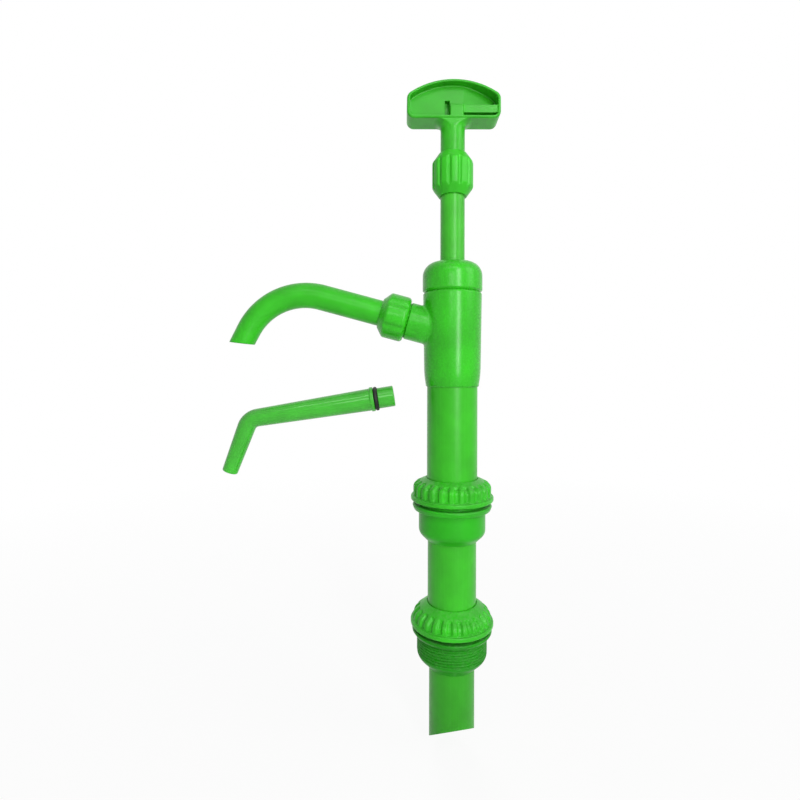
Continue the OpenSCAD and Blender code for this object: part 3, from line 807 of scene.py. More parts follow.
def ribbed(theta: Array, count: int, phase: float, narrow: float, wide: float) -> Array:
    """Height of even ribs round an axis, from 0 in a groove to 1 on a rib.

    Args:
        theta: Angles round the axis.
        count: Number of ribs.
        phase: Angle of the first groove, in degrees.
        narrow: Half width of a groove's floor, as a share of the pitch.
        wide: Half width of a groove at its top, as a share of the pitch.

    Returns:
        The height at each angle.
    """
    turn = (theta - math.radians(phase)) * count / (2 * math.pi)
    return smooth_step(narrow, wide, np.abs((turn + 0.5) % 1 - 0.5))


@dataclass(frozen=True)
class PipeSizes:
    """Outside radii of the pipes that several sub-assemblies share, and their wall."""

    cylinder_r: float = 21.5
    middle_r: float = 20.7
    suction_r: float = 19.3
    rod_r: float = 10.4
    wall: float = 2.4


PIPES = PipeSizes()


@dataclass
class UnionNut:
    """Ribbed nut of a union, with a lip round its foot and a sloped top that the ribs run up onto."""

    node: str
    tail_r: float
    phase: float
    lip_r: float = 35.2
    body_r: float = 33.2
    lip_h: float = 3.6
    shoulder_h: float = 8.4
    top_round: float = 7.0
    top_slope: float = 36.0
    neck: float = 1.0
    room: float = 0.3
    thread_r: float = 28.3
    ribs: int = 24
    rib_steps: int = 16
    rib_depth: float = 1.8
    rib_end: tuple[float, float] = (28.4, 27.0)
    groove_half: tuple[float, float] = (0.1, 0.36)
    groove_foot: float = 0.3
    groove_ease: float = 0.8
    skin_in: float = 1.2
    skin_down: float = 3.4

    @property
    def top(self) -> float:
        """Level of the nut's top."""
        return span(self.node)[1]

    @property
    def groove_z(self) -> float:
        """Level where the grooves start, just above the lip."""
        return span(self.node)[0] + self.lip_h + self.groove_foot

    def build(self, bench: Bench) -> None:
        """Makes the nut and puts it in place.

        Args:
            bench: Puts the pieces in place.
        """
        foot, top = span(self.node)
        shoulder = top - self.shoulder_h
        hole = self.tail_r + self.room
        outline = rounded_outline([
            (self.thread_r, foot, 0.5), (self.lip_r, foot, 0.9), (self.lip_r, foot + self.lip_h, 1.1),
            (self.body_r, foot + self.lip_h, 0.3), (self.body_r, self._slope_z(self.body_r), self.top_round),
            (self.tail_r + self.neck, top, 0.6), (hole, top, 0.4), (hole, shoulder, 0.3),
            (self.thread_r, shoulder, 0.3)], longest=0.7)
        piece = MeshMaker.turned(self.node + "_mould", outline, self.ribs * self.rib_steps,
                                 groove=self._inward, slant=self._downward)
        bench.fit(piece, self.node, NUT_GREEN)

    def _slope_z(self, radius: Any) -> Any:
        """Level of the sloped top at a radius."""
        return self.top - (radius - self.tail_r - self.neck) * math.tan(math.radians(self.top_slope))

    def _relief(self, theta: Array, along: Array) -> tuple[Array, Array]:
        """Grooves between the ribs.

        Args:
            theta: Angles round the nut.
            along: Levels on its outside.

        Returns:
            How deep the groove is, and how far the outside leans back from upright, in radians.
        """
        lean = math.radians(90 - self.top_slope)
        start = self._slope_z(self.body_r) - self.top_round * math.tan(lean / 2)
        leaning = np.arcsin(np.clip((along - start) / self.top_round, 0, math.sin(lean)))
        reach = smooth_step(self.groove_z, self.groove_z + self.groove_ease, along)
        fade = 1 - smooth_step(*map(self._slope_z, self.rib_end), along)
        grooves = 1 - ribbed(theta, self.ribs, self.phase, *self.groove_half)
        return self.rib_depth * reach * fade * grooves, leaning

    def _outside(self, radius: Array, along: Array) -> Array:
        """Is a point outside the nut's side or above its sloped top."""
        return (radius > self.body_r) | (along > self._slope_z(radius))

    def _inward(self, theta: Array, radius: Array, along: Array) -> Array:
        """Radius with the grooves cut in."""
        depth, leaning = self._relief(theta, along)
        return np.where(self._outside(radius + self.skin_in, along), radius - depth * np.cos(leaning), radius)

    def _downward(self, theta: Array, radius: Array, along: Array) -> Array:
        """Level with the grooves cut in."""
        depth, leaning = self._relief(theta, along)
        return np.where(self._outside(radius + self.skin_down, along), along - depth * np.sin(leaning), along)


@dataclass
class Unions:
    """Both unions: nuts, the socket between the tubes and the adapter for the drum."""

    cylinder_r: float = PIPES.cylinder_r
    middle_r: float = PIPES.middle_r
    wall: float = PIPES.wall
    thread_r: float = 28.0
    thread_depth: float = 1.3
    thread_pitch: float = 2.31
    thread_sharp: float = 1.3
    thread_runout: float = 1.6
    crest_room: float = 0.3
    chamber_r: float = 23.0
    socket_r: float = 28.4
    socket_h: float = 18.0
    collar_r: float = 33.8
    collar_h: float = 4.6
    bung_r: float = 29.8
    bung_len: float = 16.5
    seat_r: float = 32.2
    seat_collar_h: float = 3.9
    flare: float = 1.8
    suction_r: float = PIPES.suction_r
    tube_depth: float = 10.0
    columns: int = 192

    def build(self, bench: Bench) -> None:
        """Makes both nuts, the socket and the adapter.

        Args:
            bench: Puts the pieces in place.
        """
        for nut in (UnionNut("upper_union_nut", self.cylinder_r, phase=271.0, top_slope=25.0, top_round=5.0),
                    UnionNut("lower_union_nut", self.middle_r, phase=276.0, top_slope=39.0)):
            nut.build(bench)
        self._socket(bench)
        self._adapter(bench)

    def _thread(self, low: float, high: float, crest: float) -> Shaper:
        """Shaper that cuts a thread between two levels.

        Args:
            low: Level where the thread starts.
            high: Level where it ends.
            crest: Radius of its crest.

        Returns:
            The shaper.
        """
        start, end = low + self.thread_runout, high - self.thread_runout

        def cut(theta: Array, radius: Array, along: Array) -> Array:
            """Radius with the thread cut in.

            Args:
                theta: Angles round the axis.
                radius: Distances from the axis.
                along: Levels.

            Returns:
                The new radius at each point.
            """
            turn = along / self.thread_pitch - theta / (2 * math.pi)
            depth = self.thread_depth * (0.5 - 0.5 * np.cos(2 * math.pi * turn)) ** self.thread_sharp
            reach = smooth_step(low, start, along) * (1 - smooth_step(end, high, along))
            return np.where(np.abs(radius - crest) < self.crest_room, radius - depth * reach, radius)

        return cut

    def _socket(self, bench: Bench) -> None:
        """Makes the socket of the upper union.

        Args:
            bench: Puts the pieces in place.
        """
        foot, top = span("union_socket")
        lip = self.middle_r + 1.6
        body = foot + self.socket_r - lip + 4 * (math.sqrt(2) - 1)
        collar = body + self.socket_h
        collar_top = collar + self.collar_h
        rim = self.collar_r
        seat = foot + self.tube_depth
        hole, bore = self.middle_r + 0.1, self.middle_r - self.wall
        outline = rounded_outline([
            (hole, foot, 0.4), (lip, foot, 0.7), (self.socket_r, foot + self.socket_r - lip, 7.0),
            (self.socket_r, collar, 1.0), (rim - 1.2, collar, 0.8), (rim, collar_top - 1.4, 0.6),
            (rim - 0.8, collar_top, 0.5), (self.thread_r, collar_top, 0.3),
            (self.thread_r, top, 0.5), (self.chamber_r, top, 0.5), (self.chamber_r, seat + 2.2, 0.3),
            (bore, seat + 2.2, 0.3), (bore, seat, 0.2), (hole, seat, 0.2)], longest=0.5)
        piece = MeshMaker.turned("union_socket_mould", outline, self.columns,
                                 groove=self._thread(collar_top, top, self.thread_r))
        bench.fit(piece, "union_socket", SOCKET_GREEN_PAINTED_SHADE)

    def _adapter(self, bench: Bench) -> None:
        """Makes the adapter with the drum thread.

        Args:
            bench: Puts the pieces in place.
        """
        foot, top = span("bung_adapter")
        skirt = self.suction_r + 1.4
        stop = self.tube_depth - self.bung_len
        hole, bore = self.suction_r + 0.1, self.suction_r - 3.0
        rim = self.seat_r + self.flare
        outline = rounded_outline([
            (hole, foot, 0.4), (skirt, foot, 0.6), (self.bung_r, foot + self.bung_r - skirt, 8.0),
            (self.bung_r, 0.0, 0.4), (self.seat_r, 0.0, 0.4), (rim, self.seat_collar_h - 1.4, 0.8),
            (rim - 0.8, self.seat_collar_h, 0.5), (self.thread_r, self.seat_collar_h, 0.3),
            (self.thread_r, top, 0.5), (bore, top, 0.4), (bore, stop, 0.3), (hole, stop, 0.2)], longest=0.32)
        drum = self._thread(-self.bung_len - 2.5, -0.6, self.bung_r)
        union = self._thread(self.seat_collar_h, top, self.thread_r)

        def both(theta: Array, radius: Array, along: Array) -> Array:
            """Radius with both threads cut in."""
            return union(theta, drum(theta, radius, along), along)

        piece = MeshMaker.turned("bung_adapter_mould", outline, self.columns, groove=both)
        bench.fit(piece, "bung_adapter", ADAPTER_GREEN_PAINTED_SHADE)


@dataclass
class Tubes:
    """Cylinder, middle tube, suction tube and pump rod."""

    cylinder_r: float = PIPES.cylinder_r
    middle_r: float = PIPES.middle_r
    suction_r: float = PIPES.suction_r
    rod_r: float = PIPES.rod_r
    rod_wall: float = 3.0
    rod_columns: int = 96
    wall: float = PIPES.wall
    flange_r: float = 27.5
    flange_h: float = 3.2
    cut_level: float = -87.7
    cut_slope: float = 37.0
    cut_turn: float = 13.0
    cut_hold: float = -55.0
    cut_low: float = -105.0
    columns: int = 128

    def build(self, bench: Bench) -> None:
        """Makes the tubes and the rod.

        Args:
            bench: Puts the pieces in place.
        """
        for node, radius in (("cylinder", self.cylinder_r), ("middle_tube", self.middle_r)):
            foot, top = span(node)
            flange = foot + self.flange_h
            outline = rounded_outline([
                (radius - self.wall, foot, 0.3), (self.flange_r, foot, 0.5), (self.flange_r, flange, 0.5),
                (radius, flange, 0.9), (radius, top, 0.7), (radius - self.wall, top, 0.4)], longest=3.0)
            bench.fit(MeshMaker.turned(node + "_mould", outline, self.columns), node, TUBE_GREEN)
        foot, top = span("piston_rod")
        inner = self.rod_r - self.rod_wall
        outline = rounded_outline([(inner, foot, 0.4), (self.rod_r, foot, 0.6), (self.rod_r, top, 0.6),
                                   (inner, top, 0.4)], longest=3.0)
        bench.fit(MeshMaker.turned("piston_rod_drawn", outline, self.rod_columns), "piston_rod", ROD_GREEN)
        self._suction(bench)

    def _suction(self, bench: Bench) -> None:
        """Makes the suction tube with its slanted end.

        Args:
            bench: Puts the pieces in place.
        """
        top = span("suction_tube")[1]
        hold, low = self.cut_hold, self.cut_low
        tilt, turn = math.tan(math.radians(self.cut_slope)), math.radians(self.cut_turn)

        def slant(theta: Array, radius: Array, along: Array) -> Array:
            """Draws the lower end onto the slanted plane.

            Args:
                theta: Angles round the axis.
                radius: Distances from the axis.
                along: Levels.

            Returns:
                The new place along the axis at each point.
            """
            plane = self.cut_level - tilt * radius * np.sin(theta - turn)
            share = np.clip((hold - along) / (hold - low), 0, 1)
            return np.where(along < hold, hold + share * (plane - hold), along)

        inner = self.suction_r - self.wall
        outline = rounded_outline([(inner, low, 0.4), (self.suction_r, low, 0.7), (self.suction_r, top, 0.5),
                                   (inner, top, 0.4)], longest=2.0)
        piece = MeshMaker.turned("suction_tube_drawn", outline, self.columns, slant=slant)
        bench.fit(piece, "suction_tube", SUCTION_GREEN_PAINTED_SHADE)


@dataclass
class Head:
    """Pump head with its inclined branch, and the domed cap on top."""

    foot_r: float = 24.1
    top_r: float = 25.1
    taper: float = 11.0
    chamfer: float = 1.4
    cylinder_r: float = PIPES.cylinder_r
    bore_r: float = 19.1
    depth: float = 30.0
    plug_r: float = 20.5
    plug_len: float = 15.0
    cap_r: float = 25.5
    cap_round: float = 12.4
    cap_wall: float = 5.0
    cap_columns: int = 160
    rod_r: float = PIPES.rod_r
    gland_r: float = 14.8
    branch_drop: float = 34.2
    branch_rise: float = 15.0
    branch_r: float = 15.9
    branch_len: float = 39.6
    thread_r: float = 14.75
    thread_len: float = 13.0
    socket_r: float = 11.95
    socket_foot: float = 30.8
    way_r: float = 9.1
    fillet: float = 1.4
    cell: float = 0.8
    room: float = 3.0

    @property
    def top(self) -> float:
        """Level of the head's top, under the cap."""
        return span("gland_cap")[0] + self.plug_len

    @property
    def branch_z(self) -> float:
        """Level where the branch's axis meets the pump's axis."""
        return self.top - self.branch_drop

    def build(self, bench: Bench) -> None:
        """Makes the head and the cap.

        Args:
            bench: Puts the pieces in place.
        """
        foot = span("pump_head")[0]
        room = self.room
        end = (self.branch_len + self.thread_len) * math.cos(math.radians(self.branch_rise)) + 2 * room
        low = (-end, -self.top_r - room, foot - room)
        high = (self.top_r + room, self.top_r + room, self.top + room)
        bench.fit(MeshMaker.skin("pump_head_mould", self._field, low, high, self.cell), "pump_head", HEAD_GREEN)
        self._cap(bench)

    def _field(self, points: Array) -> Array:
        """Distance to the head.

        Args:
            points: Points in millimetres.

        Returns:
            Signed distance, negative inside.
        """
        x, y, z = points.T
        foot = span("pump_head")[0]
        out = np.hypot(x, y)
        knee = foot + self.taper
        edge = self.cylinder_r + 1.0
        side = out - self.foot_r - (self.top_r - self.foot_r) * (z - knee) / (self.top - knee)
        skirt = out - edge - (self.foot_r - edge) * (z - foot) / self.taper
        bevel = (out - self.top_r + z - self.top + self.chamfer) / math.sqrt(2)
        body = soft_max(soft_max(side, skirt, 0.8), bevel, 0.5)
        body = soft_max(soft_max(body, foot - z, 0.8), z - self.top, 0.4)
        rise = math.radians(self.branch_rise)
        along = -x * math.cos(rise) + (z - self.branch_z) * math.sin(rise)
        lift = x * math.sin(rise) + (z - self.branch_z) * math.cos(rise)
        round_branch = np.hypot(lift, y)
        branch = soft_max(round_branch - self.branch_r, along - self.branch_len, 1.2)
        thread = soft_max(round_branch - self.thread_r, along - self.branch_len - self.thread_len, 1.0)
        arm = np.maximum(np.minimum(branch, thread), -along)
        form = filleted(body, arm, self.fillet)
        for bore in (np.maximum(out - self.cylinder_r - 0.1, z - foot - self.depth),
                     np.maximum(out - self.bore_r, foot - z),
                     np.maximum(out - self.plug_r, self.top - self.plug_len - z),
                     np.maximum(round_branch - self.way_r, -along),
                     np.maximum(round_branch - self.socket_r, self.socket_foot - along)):
            form = soft_max(form, -bore, 0.5)
        return form

    def _cap(self, bench: Bench) -> None:
        """Makes the domed cap with its gland.

        Args:
            bench: Puts the pieces in place.
        """
        foot, top = span("gland_cap")
        hole, plug, gland = self.rod_r + 0.3, self.plug_r - 0.1, top - self.cap_wall
        outline = rounded_outline([
            (self.gland_r, foot, 0.4), (plug, foot, 0.8), (plug, self.top, 0.3),
            (self.cap_r - 1.8, self.top, 0.4), (self.cap_r, self.top + 1.6, 0.7),
            (self.cap_r, top, self.cap_round), (hole + 2.4, top, 0.8), (hole + 1.2, top - 0.5, 0.5),
            (hole, top - 0.7, 0.4), (hole, gland, 0.3), (self.gland_r, gland, 0.3)], longest=1.5)
        piece = MeshMaker.turned("gland_cap_mould", outline, self.cap_columns)
        bench.fit(piece, "gland_cap", HEAD_GREEN)


@dataclass
class SpoutArm:
    """Curved spout with its flange, and the lobed nut that holds it on the branch."""

    head: Head
    outer_r: float = 11.0
    mouth_r: float = 9.95
    shank_r: float = 11.7
    bore_r: float = 9.1
    foot: float = 31.0
    reach: float = 115.7
    bend_r: float = 55.0
    bend: float = 78.0
    tip_len: float = 13.6
    mouth_tilt: float = 6.0
    mouth_short: float = 0.9
    narrowing_r: float = 200.0
    ring_at: float = 43.0
    groove_half: float = 1.1
    groove_r: float = 9.9
    flange_at: float = 52.8
    flange_h: float = 3.2
    flange_r: float = 14.45
    nut_at: float = 40.3
    nut_len: float = 23.6
    nut_r: float = 19.5
    nut_lobes: int = 6
    lobe_steps: int = 26
    lobe_depth: float = 1.2
    lobe_rise: float = 1.8
    columns: int = 96

    def build(self, bench: Bench) -> None:
        """Makes the spout and its nut."""
        self._spout(bench)
        self._nut(bench)

    def _axis(self, runs: tuple[tuple[float, float], ...]) -> BentAxis:
        """Centre line that starts where the branch meets the pump's axis."""
        return BentAxis((0.0, self.head.branch_z), self.head.branch_rise, runs)

    def _spout(self, bench: Bench) -> None:
        """Makes the spout with its nearly level mouth.

        Args:
            bench: Puts the pieces in place.
        """
        arc = self.bend_r * math.radians(self.bend)
        axis = self._axis(((self.reach, 0.0), (arc, self.bend), (self.tip_len, 0.0)))
        hold = self.reach + arc
        end = hold + self.tip_len
        slant = 1 / math.tan(math.radians(self.bend - self.head.branch_rise + self.mouth_tilt))

        def level(theta: Array, radius: Array, along: Array) -> Array:
            """Draws the mouth onto a nearly level plane.

            Args:
                theta: Angles round the axis.
                radius: Distances from the axis.
                along: Lengths along the spout.

            Returns:
                The new place along the axis at each point.
            """
            mouth = end - self.mouth_short + radius * np.cos(theta) * slant
            share = np.clip((along - hold) / self.tip_len, 0, None)
            return np.where(along > hold, hold + share * (mouth - hold), along)

        top = self.flange_at + self.flange_h
        groove, groove_top = self.ring_at - self.groove_half, self.ring_at + self.groove_half
        outline = rounded_outline([
            (self.bore_r, self.foot, 0.4), (self.shank_r, self.foot, 0.5), (self.shank_r, groove, 0.2),
            (self.groove_r, groove, 0.2), (self.groove_r, groove_top, 0.2), (self.shank_r, groove_top, 0.2),
            (self.shank_r, self.flange_at, 0.3), (self.flange_r, self.flange_at, 0.4),
            (self.flange_r, top, 0.5), (self.outer_r, top, 0.8),
            (self.outer_r, self.reach, self.narrowing_r), (self.mouth_r, end, 0.4), (self.bore_r, end, 0.35)],
            longest=1.4)
        piece = MeshMaker.turned("spout_bent", outline, self.columns, axis, slant=level)
        bench.fit(piece, "spout", SPOUT_GREEN)

    def _nut(self, bench: Bench) -> None:
        """Makes the lobed nut.

        Args:
            bench: Puts the pieces in place.
        """
        inner, hole = self.head.thread_r + 0.3, self.outer_r + 0.3
        foot, top = self.nut_at, self.nut_at + self.nut_len
        lip = self.flange_at + self.flange_h + 0.3
        outline = rounded_outline([
            (inner, foot, 0.4), (self.nut_r, foot, 3.6), (self.nut_r, top - 5.8, 3.0), (hole + 1.4, top, 0.8),
            (hole, top, 0.4), (hole, lip, 0.3), (inner, lip, 0.3)], longest=0.8)
        piece = MeshMaker.turned("spout_nut_mould", outline, self.nut_lobes * self.lobe_steps, self._axis(()),
                                 groove=self._lobes)
        bench.fit(piece, "spout_nut", HEAD_GREEN)

    def _lobes(self, theta: Array, radius: Array, along: Array) -> Array:
        """Radius with the hollows between the lobes cut in.

        Args:
            theta: Angles round the nut.
            radius: Distances from its axis.
            along: Lengths along its axis.

        Returns:
            The new radius at each point.
        """
        floor = self.nut_r - self.lobe_depth
        limit = floor + self.lobe_rise * ribbed(theta, self.nut_lobes, 0.0, 0.02, 0.22)
        return np.where(radius > self.head.thread_r + 1.5, soft_min(radius, limit, 0.7), radius)


@dataclass
class Handle:
    """T handle with pockets in both faces, and the fluted nut below it."""

    width: float = 79.0
    height: float = 32.8
    crown: float = 12.8
    depth: float = 22.4
    rim: float = 2.4
    corner: float = 6.0
    column_x: float = -3.2
    column_w: float = 11.4
    panel: float = 6.8
    web: float = 2.8
    rib_h: float = 6.6
    rib_gap: float = 2.4
    rib_drop: float = 1.0
    slot_w: float = 3.8
    slot_h: float = 15.0
    slot_drop: float = 5.5
    stem_r: float = PIPES.rod_r
    stem_over_plug: float = 17.0
    plug_r: float = 7.3
    fillet: float = 7.0
    edge: float = 1.6
    nut_r: float = 17.5
    nut_flutes: int = 12
    flute_steps: int = 18
    flute_depth: float = 1.5
    flute_rise: float = 2.1
    flute_phase: float = 255.0
    far: float = 500.0
    lap: float = 3.0
    cell: float = 0.6
    room: float = 2.5

    @property
    def foot(self) -> float:
        """Level of the bar's underside."""
        return span("handle")[1] - self.height

    def build(self, bench: Bench) -> None:
        """Makes the handle and its nut.

        Args:
            bench: Puts the pieces in place.
        """
        low, high = span("handle")
        across, deep = self.width / 2 + self.room, self.depth / 2 + self.room
        piece = MeshMaker.skin("handle_mould", self._field, (-across, -deep, low - self.room),
                               (across, deep, high + self.room), self.cell)
        bench.fit(piece, "handle", HANDLE_GREEN_PAINTED_SHADE)
        self._nut(bench)

    def _outline(self, x: Array, z: Array, inset: float) -> Array:
        """Distance in the front view to the bar's outline, drawn in by an inset.

        Args:
            x: Places across.
            z: Levels.
            inset: How far the outline is drawn in.

        Returns:
            Signed distance, negative inside.
        """
        half = self.width / 2
        arch_r = (half ** 2 + self.crown ** 2) / (2 * self.crown)
        top = self.foot + self.height
        arch = np.hypot(x, z - top + arch_r) - arch_r + inset
        low = max(self.corner - inset, 0.5)
        side = np.abs(x) - half + inset + low
        down = self.foot + inset + low - z
        return soft_max(arch, rounded_edge(side, down, low), 3.0)

    def _pockets(self, x: Array, y: Array, z: Array) -> Array:
        """Distance to the pockets of the front face.

        Args:
            x: Places across.
            y: Places in depth.
            z: Levels.

        Returns:
            Signed distance, negative in a pocket.
        """
        inner = self._outline(x, z, self.rim)
        into = y + self.depth / 2
        end = self.column_x + self.column_w
        rib = self.foot + self.rim + self.rib_gap
        rib_top = rib + self.rib_h
        deep = self.depth - self.panel - self.web
        sloped = self.panel + (deep - self.panel) * (x - end) / (self.width / 2 - end)
        far, lap = self.far, self.lap
        cuts = ((-far, self.column_x, -far, far, self.panel),
                (self.column_x - lap, end + lap, rib_top, far, self.panel),
                (self.column_x - self.slot_w, self.column_x, -far, self.foot + self.rim + self.slot_h,
                 self.panel + self.slot_drop),
                (end, far, -far, rib, deep), (end, far, rib - 1, rib_top + lap, self.rib_drop),
                (end - lap, far, rib_top, far, sloped))
        found = np.full(x.shape, far)
        for left, right, low, high, depth in cuts:
            frame_in = soft_max(np.maximum(left - x, x - right), np.maximum(low - z, z - high), 0.8)
            found = np.minimum(found, soft_max(soft_max(inner, frame_in, 0.8), into - depth, 0.9))
        return found

    def _field(self, points: Array) -> Array:
        """Distance to the handle.

        Args:
            points: Points in millimetres.

        Returns:
            Signed distance, negative inside.
        """
        x, y, z = points.T
        bar = rounded_edge(self._outline(x, z, self.edge), np.abs(y) - self.depth / 2 + self.edge, self.edge)
        out = np.hypot(x, y)
        plug_foot = span("handle")[0]
        stem_foot = plug_foot + self.stem_over_plug
        stem = soft_max(out - self.stem_r, np.maximum(stem_foot - z, z - self.foot - 1), 0.8)
        joint = soft_max(filleted(bar, stem, self.fillet), np.abs(y) - self.stem_r, 0.6)
        form = np.minimum(np.minimum(bar, stem), joint)
        plug = soft_max(out - self.plug_r, np.maximum(plug_foot - z, z - stem_foot - 1), 0.8)
        form = np.minimum(form, plug)
        for side in (1, -1):
            form = soft_max(form, -self._pockets(side * x, side * y, z), 1.0)
        return form

    def _nut(self, bench: Bench) -> None:
        """Makes the fluted nut.

        Args:
            bench: Puts the pieces in place.
        """
        foot, top = span("handle_nut")
        end, hole = self.stem_r + 1.7, self.stem_r + 0.3
        outline = rounded_outline([
            (hole, foot, 0.4), (end, foot, 0.5), (self.nut_r, foot + 7.4, 4.0), (self.nut_r, top - 7.8, 3.0),
            (end, top, 0.8), (hole, top, 0.4)], longest=0.9)
        piece = MeshMaker.turned("handle_nut_mould", outline, self.nut_flutes * self.flute_steps,
                                 groove=self._flutes)
        bench.fit(piece, "handle_nut", NUT_GREEN)

    def _flutes(self, theta: Array, radius: Array, along: Array) -> Array:
        """Radius with the flutes cut in.

        Args:
            theta: Angles round the nut.
            radius: Distances from its axis.
            along: Levels.

        Returns:
            The new radius at each point.
        """
        height = self.flute_rise * ribbed(theta, self.nut_flutes, self.flute_phase, 0.04, 0.3)
        limit = self.nut_r - self.flute_depth + height
        return np.where(radius > self.stem_r + 1, soft_min(radius, limit, 0.5), radius)


@dataclass
class LooseNozzle:
    """Angled nozzle that lies beside the pump, with the ring on its spigot."""

    start: tuple[float, float] = (-49.9, 201.2)
    fall: float = 9.2
    spigot_r: float = 8.9
    spigot_len: float = 17.4
    ring_r: float = 1.7
    ring_inset: float = 0.3
    ring_room: float = 0.15
    ring_steps: int = 24
    collar_r: float = 10.5
    collar_h: float = 3.0
    wide_r: float = 9.6
    bend_r: float = 7.7
    tip_r: float = 6.6
    bore_r: float = 4.6
    long_leg: float = 125.9
    short_leg: float = 48.4
    bend: float = 60.5
    bend_line: float = 12.0
    columns: int = 72

    @property
    def ring_at(self) -> float:
        """Where the ring lies along the spigot."""
        return self.spigot_len - self.ring_r - self.ring_room

    def build(self, bench: Bench) -> None:
        """Makes the nozzle and its ring.

        Args:
            bench: Puts the pieces in place.
        """
        tangent = self.bend_line * math.tan(math.radians(self.bend / 2))
        arc = self.bend_line * math.radians(self.bend)
        straight = self.long_leg - tangent
        axis = BentAxis(self.start, -self.fall, ((straight, 0.0), (arc, self.bend)))
        end = straight + arc + self.short_leg - tangent
        groove = self.spigot_r - self.ring_inset - self.ring_r - 0.1
        half = self.ring_r + self.ring_room
        low, high = self.ring_at - half, self.ring_at + half
        collar = self.spigot_len + self.collar_h
        outline = rounded_outline([
            (self.bore_r, 0.0, 0.5), (self.spigot_r, 0.0, 0.9), (self.spigot_r, low, 0.3), (groove, low, 0.3),
            (groove, high, 0.3), (self.collar_r, high, 0.6), (self.collar_r, collar, 0.9),
            (self.wide_r, collar + 0.3, 0.8), (self.bend_r, straight, 20.0),
            (self.bend_r, straight + arc, 10.0), (self.tip_r, end, 0.9), (self.bore_r, end, 0.4)], longest=1.2)
        bench.fit(MeshMaker.turned("nozzle_bent", outline, self.columns, axis), "nozzle", NOZZLE_GREEN)
        middle = self.spigot_r - self.ring_inset
        wire = [(middle + self.ring_r * math.cos(a), self.ring_at + self.ring_r * math.sin(a))
                for a in np.arange(self.ring_steps) * (2 * math.pi / self.ring_steps)]
        ring = MeshMaker.turned("nozzle_ring_rubber", np.array(wire), self.columns, axis)
        bench.fit(ring, "nozzle_o_ring", SEAL_BLACK)


@dataclass
class InnerWorks:
    """Valves, seals and bush inside the pump, which keep their CAD shapes."""

    green: tuple[str, ...] = ("piston_cage", "piston_head", "foot_valve_cage", "foot_valve_seat")
    rubber: tuple[str, ...] = ("handle_washer", "piston_ring", "rod_packing", "upper_union_gasket",
                               "lower_union_gasket", "spout_o_ring")
    metal: tuple[str, ...] = ("piston_ball", "foot_valve_ball")
    white: tuple[str, ...] = ("rod_bush",)

    def build(self, bench: Bench) -> None:
        """Gives each inner piece its finish.

        Args:
            bench: Puts the pieces in place.
        """
        for nodes, finish in ((self.green, NUT_GREEN), (self.rubber, SEAL_BLACK), (self.metal, BALL_METAL),
                              (self.white, BUSH_WHITE)):
            for node in nodes:
                bench.dress(node, finish)


@dataclass(frozen=True)
class Lamp:
    """Soft rectangular lamp.

    Attributes:
        name: Name of the lamp.
        place: Where it hangs, in metres.
        size: Its width and height.
        power: Its power in watts.
        mirrored: Whether glossy surfaces show it.
    """

    name: str
    place: tuple[float, float, float]
    size: tuple[float, float]
    power: float
    mirrored: bool = True

    def hang(self, aim: tuple[float, float, float]) -> None:
        """Puts the lamp in the scene.

        Args:
            aim: The point it faces.
        """
        data = bpy.data.lights.new(self.name, "AREA")
        data.shape, data.energy = "RECTANGLE", self.power
        data.size, data.size_y = self.size
        lamp = bpy.data.objects.new(self.name, data)
        lamp.location = self.place
        lamp.visible_glossy = self.mirrored
        lamp.rotation_mode = "QUATERNION"
        lamp.rotation_quaternion = (Vector(aim) - Vector(self.place)).to_track_quat("-Z", "Y")
        bpy.context.scene.collection.objects.link(lamp)


LAMPS = (
    Lamp("front_strip", (0.37, -1.14, 0.52), (0.2, 1.0), 9.2),
    Lamp("low_bar", (-0.15, -1.15, 0.5), (0.4, 0.12), 1.2),
    Lamp("high_bar", (-0.14, -0.86, 1.05), (0.9, 0.06), 2.0),
    Lamp("back_box", (-0.25, 1.2, 0.8), (0.9, 0.9), 8.0, mirrored=False),
    Lamp("right_box", (1.18, -0.55, 0.9), (0.7, 0.9), 5.6),
    Lamp("left_fill", (-1.1, -0.9, 0.7), (0.8, 0.8), 0.3),
)


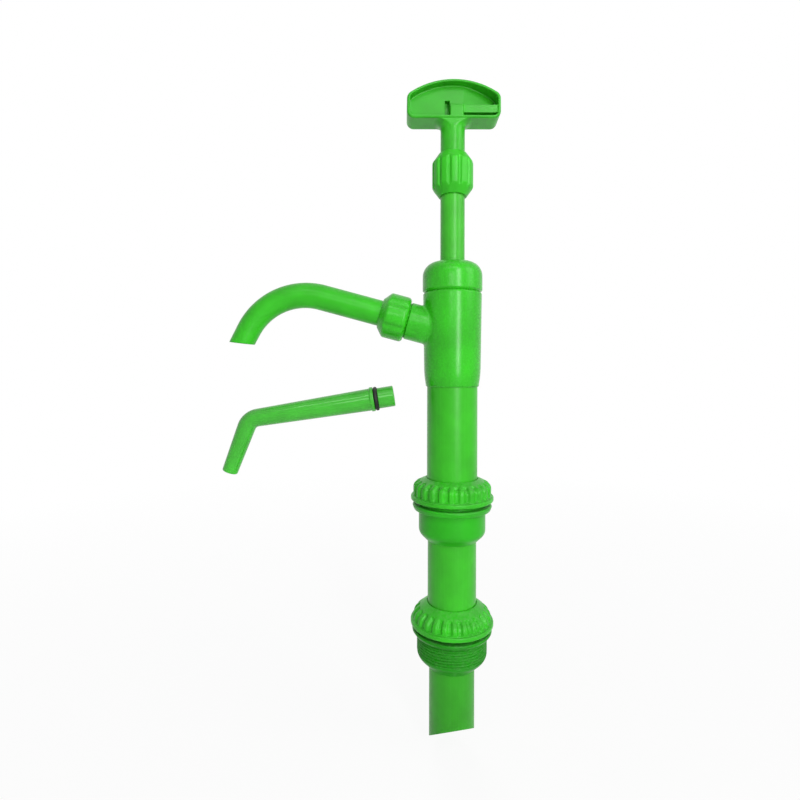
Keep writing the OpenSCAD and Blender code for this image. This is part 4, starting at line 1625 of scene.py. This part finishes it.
@dataclass
class Studio:
    """Camera, lights, floor and white surroundings."""

    axis_px: float = 452.2
    level_px: float = 629.72
    mm_per_px: float = 0.86
    eye_px: tuple[float, float] = (400.0, 370.0)
    distance: float = 430.0
    roll: float = -0.12
    sensor: float = 36.0
    aim: tuple[float, float, float] = (0.0, 0.0, 0.3)
    room_light: float = 0.12
    floor_side: float = 8.0
    floor_gap: float = 0.001
    floor_fade: tuple[float, float] = (0.15, 1.2)
    floor_glow: float = 0.92

    def build(self) -> None:
        """Sets up everything round the object."""
        bpy.context.scene.view_settings.view_transform = "Standard"
        self._camera()
        for lamp in LAMPS:
            lamp.hang(self.aim)
        self._world()
        self._floor()

    def _camera(self) -> None:
        """Level camera in front of the pump, at the photo's place."""
        data = bpy.data.cameras.new("front_camera")
        data.sensor_width = self.sensor
        data.lens = self.sensor * self.distance / self.mm_per_px / IMAGE_SIDE
        data.shift_x = (IMAGE_SIDE / 2 - self.eye_px[0]) / IMAGE_SIDE
        data.shift_y = (self.eye_px[1] - IMAGE_SIDE / 2) / IMAGE_SIDE
        data.clip_start, data.clip_end = 0.01, 50.0
        camera = bpy.data.objects.new("front_camera", data)
        across = (self.eye_px[0] - self.axis_px) * self.mm_per_px
        up = (self.level_px - self.eye_px[1]) * self.mm_per_px
        camera.location = (across * MM, -self.distance * MM, up * MM)
        camera.rotation_euler = (math.radians(90), math.radians(self.roll), 0)
        bpy.context.scene.collection.objects.link(camera)
        bpy.context.scene.camera = camera

    @staticmethod
    def _seen(bench: NodeBench) -> bpy.types.NodeSocket:
        """Is the ray one that shows the surroundings themselves.

        Args:
            bench: Adds the nodes of the material.

        Returns:
            1 for such a ray, else 0.
        """
        path = bench.add("ShaderNodeLightPath")
        seen = bench.math("MAXIMUM", path.outputs["Is Camera Ray"], path.outputs["Is Glossy Ray"])
        return bench.math("MAXIMUM", seen, path.outputs["Is Transmission Ray"])

    def _world(self) -> None:
        """White to look at, and a plain soft light on the object."""
        world = bpy.data.worlds.new("white_room")
        bpy.context.scene.world = world
        world.use_nodes = True
        bench = NodeBench(world.node_tree)
        strength = bench.ramp(self._seen(bench), 0.0, 1.0, self.room_light, 1.0)
        light = bench.add("ShaderNodeBackground", {"Color": (1.0, 1.0, 1.0, 1.0), "Strength": strength})
        bench.add("ShaderNodeOutputWorld", {"Surface": light.outputs[0]})

    def _floor(self) -> None:
        """Pale floor under the suction tube, which keeps the shadow."""
        half = self.floor_side / 2
        mesh = bpy.data.meshes.new("pale_floor")
        corners = [(-half, -half, 0), (half, -half, 0), (half, half, 0), (-half, half, 0)]
        mesh.from_pydata(corners, [], [(0, 1, 2, 3)])
        floor = bpy.data.objects.new("pale_floor", mesh)
        floor.location.z = CAD_BOX[0].z - self.floor_gap
        bpy.context.scene.collection.objects.link(floor)
        made = bpy.data.materials.new("pale_floor")
        made.use_nodes = True
        bench = NodeBench(made.node_tree)
        matt = bench.add("ShaderNodeBsdfDiffuse", {"Color": (0.9, 0.9, 0.9, 1.0)})
        glow = bench.add("ShaderNodeEmission", {"Color": (1.0, 1.0, 1.0, 1.0), "Strength": 1.0})
        place = bench.add("ShaderNodeTexCoord").outputs["Object"]
        away = bench.add("ShaderNodeVectorMath", {0: place}, operation="LENGTH").outputs["Value"]
        white = bench.ramp(away, *self.floor_fade, self.floor_glow, 1.0)
        share = bench.math("MULTIPLY", self._seen(bench), white)
        both = bench.add("ShaderNodeMixShader", {0: share, 1: matt.outputs[0], 2: glow.outputs[0]})
        bench.add("ShaderNodeOutputMaterial", {"Surface": both.outputs[0]})
        mesh.materials.append(made)


def main() -> None:
    """Builds the studio and every piece of the pump in order."""
    logging.basicConfig(level=logging.INFO, format="%(name)s: %(message)s")
    Studio().build()
    bench = Bench()
    head = Head()
    for part in (Handle(), head, SpoutArm(head), Unions(), Tubes(), LooseNozzle(), InnerWorks()):
        LOG.info("building %s", type(part).__name__)
        part.build(bench)


if __name__ == "__main__":
    main()
